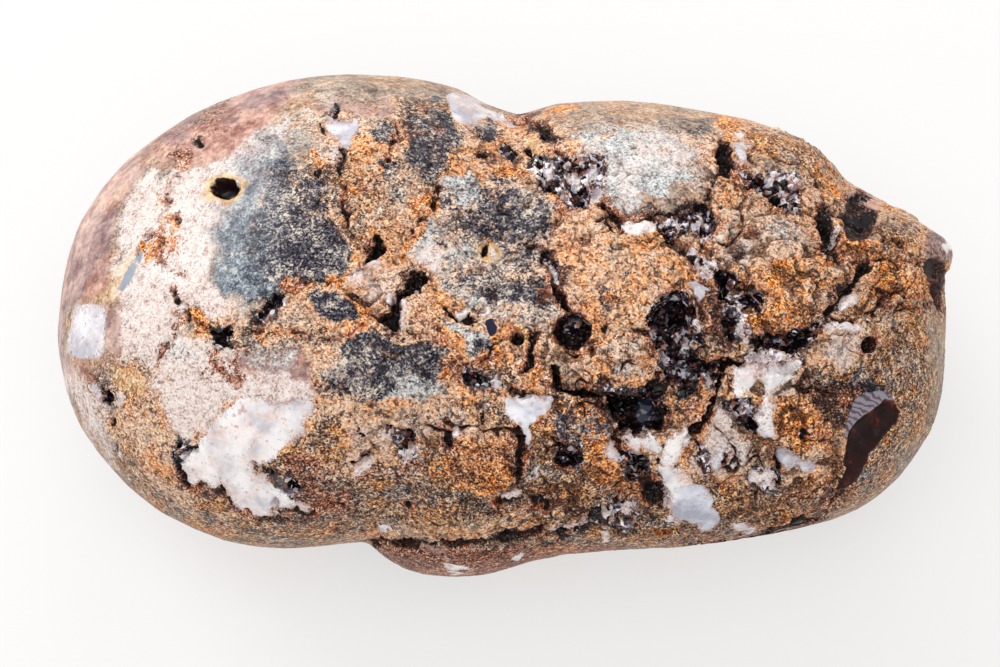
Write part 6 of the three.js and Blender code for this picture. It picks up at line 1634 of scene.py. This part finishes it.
glass_m = step(M("ADD", e_glass, M("MULTIPLY", fray, 0.2)), -0.4, 0.5)
g_col = mix(t_blue, mix(t_warm, lin(14, 8, 10), stops(frac2, (0.44, (28, 9, 8)), (0.58, (46, 14, 10)), (0.68, (104, 40, 22)))), lin(18, 25, 50))
col = mix(glass_m, col, g_col)

# how polished: hard dark and slate parts shine most, ochre least
r = mixf(mask(dark, border), 0.52, 0.34)
r = mixf(mask(slate, border), r, 0.27)
r = mixf(mask(pale, border), r, 0.36)
r = mixf(mask(mauve, border), r, 0.38)
r = M("ADD", r, M("MULTIPLY", M("SUBTRACT", speck, 0.5), 0.3))
r = mixf(quartz_m, r, 0.26)
r = mixf(slate_m, r, 0.18)
r = mixf(black_and_shade_m, r, 0.5)
r = mixf(gem_m, r, 0.16)
r = mixf(glass_m, r, 0.5)
r = M("MINIMUM", M("MAXIMUM", r, 0.06), 0.85)

hard = M("MAXIMUM", M("MAXIMUM", quartz_m, slate_m), M("MAXIMUM", glass_m, gem_m))
amount = M("MULTIPLY", M("SUBTRACT", 1.0, M("MULTIPLY", hard, 0.9)), M("MULTIPLY_ADD", rough_v, 0.85, 0.15))
height = M("MULTIPLY", centred((g1a, 0.5), (g2a, 0.3), (frac, 1.2)), amount)
bump = node("ShaderNodeBump")
bump.inputs["Strength"].default_value = 0.85
bump.inputs["Distance"].default_value = 0.045 * MM
feed(bump.inputs["Height"], height)

bsdf = node("ShaderNodeBsdfPrincipled")
nt.links.new(col, bsdf.inputs["Base Color"])
nt.links.new(r, bsdf.inputs["Roughness"])
nt.links.new(bump.outputs[0], bsdf.inputs["Normal"])
coat = M("MAXIMUM", vval("polish"), M("MAXIMUM", M("MULTIPLY", quartz_m, 0.5), M("MAXIMUM", M("MULTIPLY", gem_m, 0.9), M("MAXIMUM", M("MULTIPLY", slate_m, 0.3), M("MULTIPLY", glass_m, 0.03)))))
coat = M("MULTIPLY", coat, M("MAXIMUM", step(M("ADD", crease_v, M("MULTIPLY", t_stain, 0.06)), 0.08, 0.0, 0.25, 1.0), M("MAXIMUM", glass_m, M("MULTIPLY", gem_m, 0.4))))
nt.links.new(coat, bsdf.inputs["Coat Weight"])
bsdf.inputs["Coat Roughness"].default_value = 0.14
bsdf.inputs["Coat IOR"].default_value = 1.6
bsdf.inputs["IOR"].default_value = 1.5
bsdf.inputs["Specular IOR Level"].default_value = 0.16
outn = node("ShaderNodeOutputMaterial")
nt.links.new(bsdf.outputs[0], outn.inputs[0])
me.materials.clear()
me.materials.append(mat)

# ---------------------------------------------------------------- floor, light and camera
floor_me = bpy.data.meshes.new("floor")
floor_me.from_pydata([(-3, -3, 0), (3, -3, 0), (3, 3, 0), (-3, 3, 0)], [], [(0, 1, 2, 3)])
floor = bpy.data.objects.new("floor", floor_me)
bpy.context.scene.collection.objects.link(floor)
fmat = bpy.data.materials.new("floor")
fmat.use_nodes = True
fb = fmat.node_tree.nodes["Principled BSDF"]
fb.inputs["Base Color"].default_value = (0.30, 0.299, 0.297, 1)
fb.inputs["Roughness"].default_value = 0.9
fb.inputs["Specular IOR Level"].default_value = 0.0
fb.inputs["Emission Color"].default_value = (1.0, 0.992, 0.98, 1)
fb.inputs["Emission Strength"].default_value = 0.60
floor_me.materials.append(fmat)
floor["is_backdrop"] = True


def light(name, towards, distance, size, radiance, colour=(1, 1, 1), aim=(0, 0, 0.008)):
    d = bpy.data.lights.new(name, "AREA")
    d.shape, d.size, d.color = "SQUARE", size, colour
    d.energy = math.pi * size * size * radiance
    o = bpy.data.objects.new(name, d)
    o.location = Vector(aim) + Vector(towards).normalized() * distance
    o.rotation_mode = "QUATERNION"
    o.rotation_quaternion = (Vector(aim) - o.location).to_track_quat("-Z", "Y")
    bpy.context.scene.collection.objects.link(o)
    return o


light("key", (-0.64, 0.57, 0.50), 0.34, 0.18, 6.0)
light("back", (0.10, 0.86, 0.50), 0.34, 0.18, 2.6)
light("fill", (-0.08, -0.27, 0.95), 0.60, 0.50, 2.3)

world = bpy.data.worlds.new("world")
bpy.context.scene.world = world
world.use_nodes = True
wt = world.node_tree
bg = wt.nodes["Background"]
wc = wt.nodes.new("ShaderNodeTexCoord")
ws = wt.nodes.new("ShaderNodeSeparateXYZ")
wr = wt.nodes.new("ShaderNodeValToRGB")
wt.links.new(wc.outputs["Generated"], ws.inputs[0])
wt.links.new(ws.outputs[2], wr.inputs[0])
wt.links.new(wr.outputs[0], bg.inputs[0])
cr = wr.color_ramp
cr.elements[0].position, cr.elements[0].color = 0.06, (0.97, 0.975, 0.98, 1)
cr.elements[1].position, cr.elements[1].color = 0.95, (0.50, 0.505, 0.515, 1)
cr.elements.new(0.45).color = (0.62, 0.625, 0.635, 1)
bg.inputs[1].default_value = 1.0

cam = bpy.data.cameras.new("camera")
cam.lens, cam.sensor_width = 180, 36
cam.clip_start, cam.clip_end = 0.01, 20
camera = bpy.data.objects.new("camera", cam)
a, b, w = TAPER_P0, TAPER_Q0, TAPER_APEX
camera.location = ((a + SEAT[0]) * MM, (b * SE - w * CE + SEAT[1]) * MM, (b * CE + w * SE + SEAT[2]) * MM)
camera.rotation_euler = (math.radians(90) - LEAN, 0, 0)
bpy.context.scene.collection.objects.link(camera)
bpy.context.scene.camera = camera
bpy.context.scene.view_settings.view_transform = "Standard"

low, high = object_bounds()
print("done", round(time.time() - T0, 1))
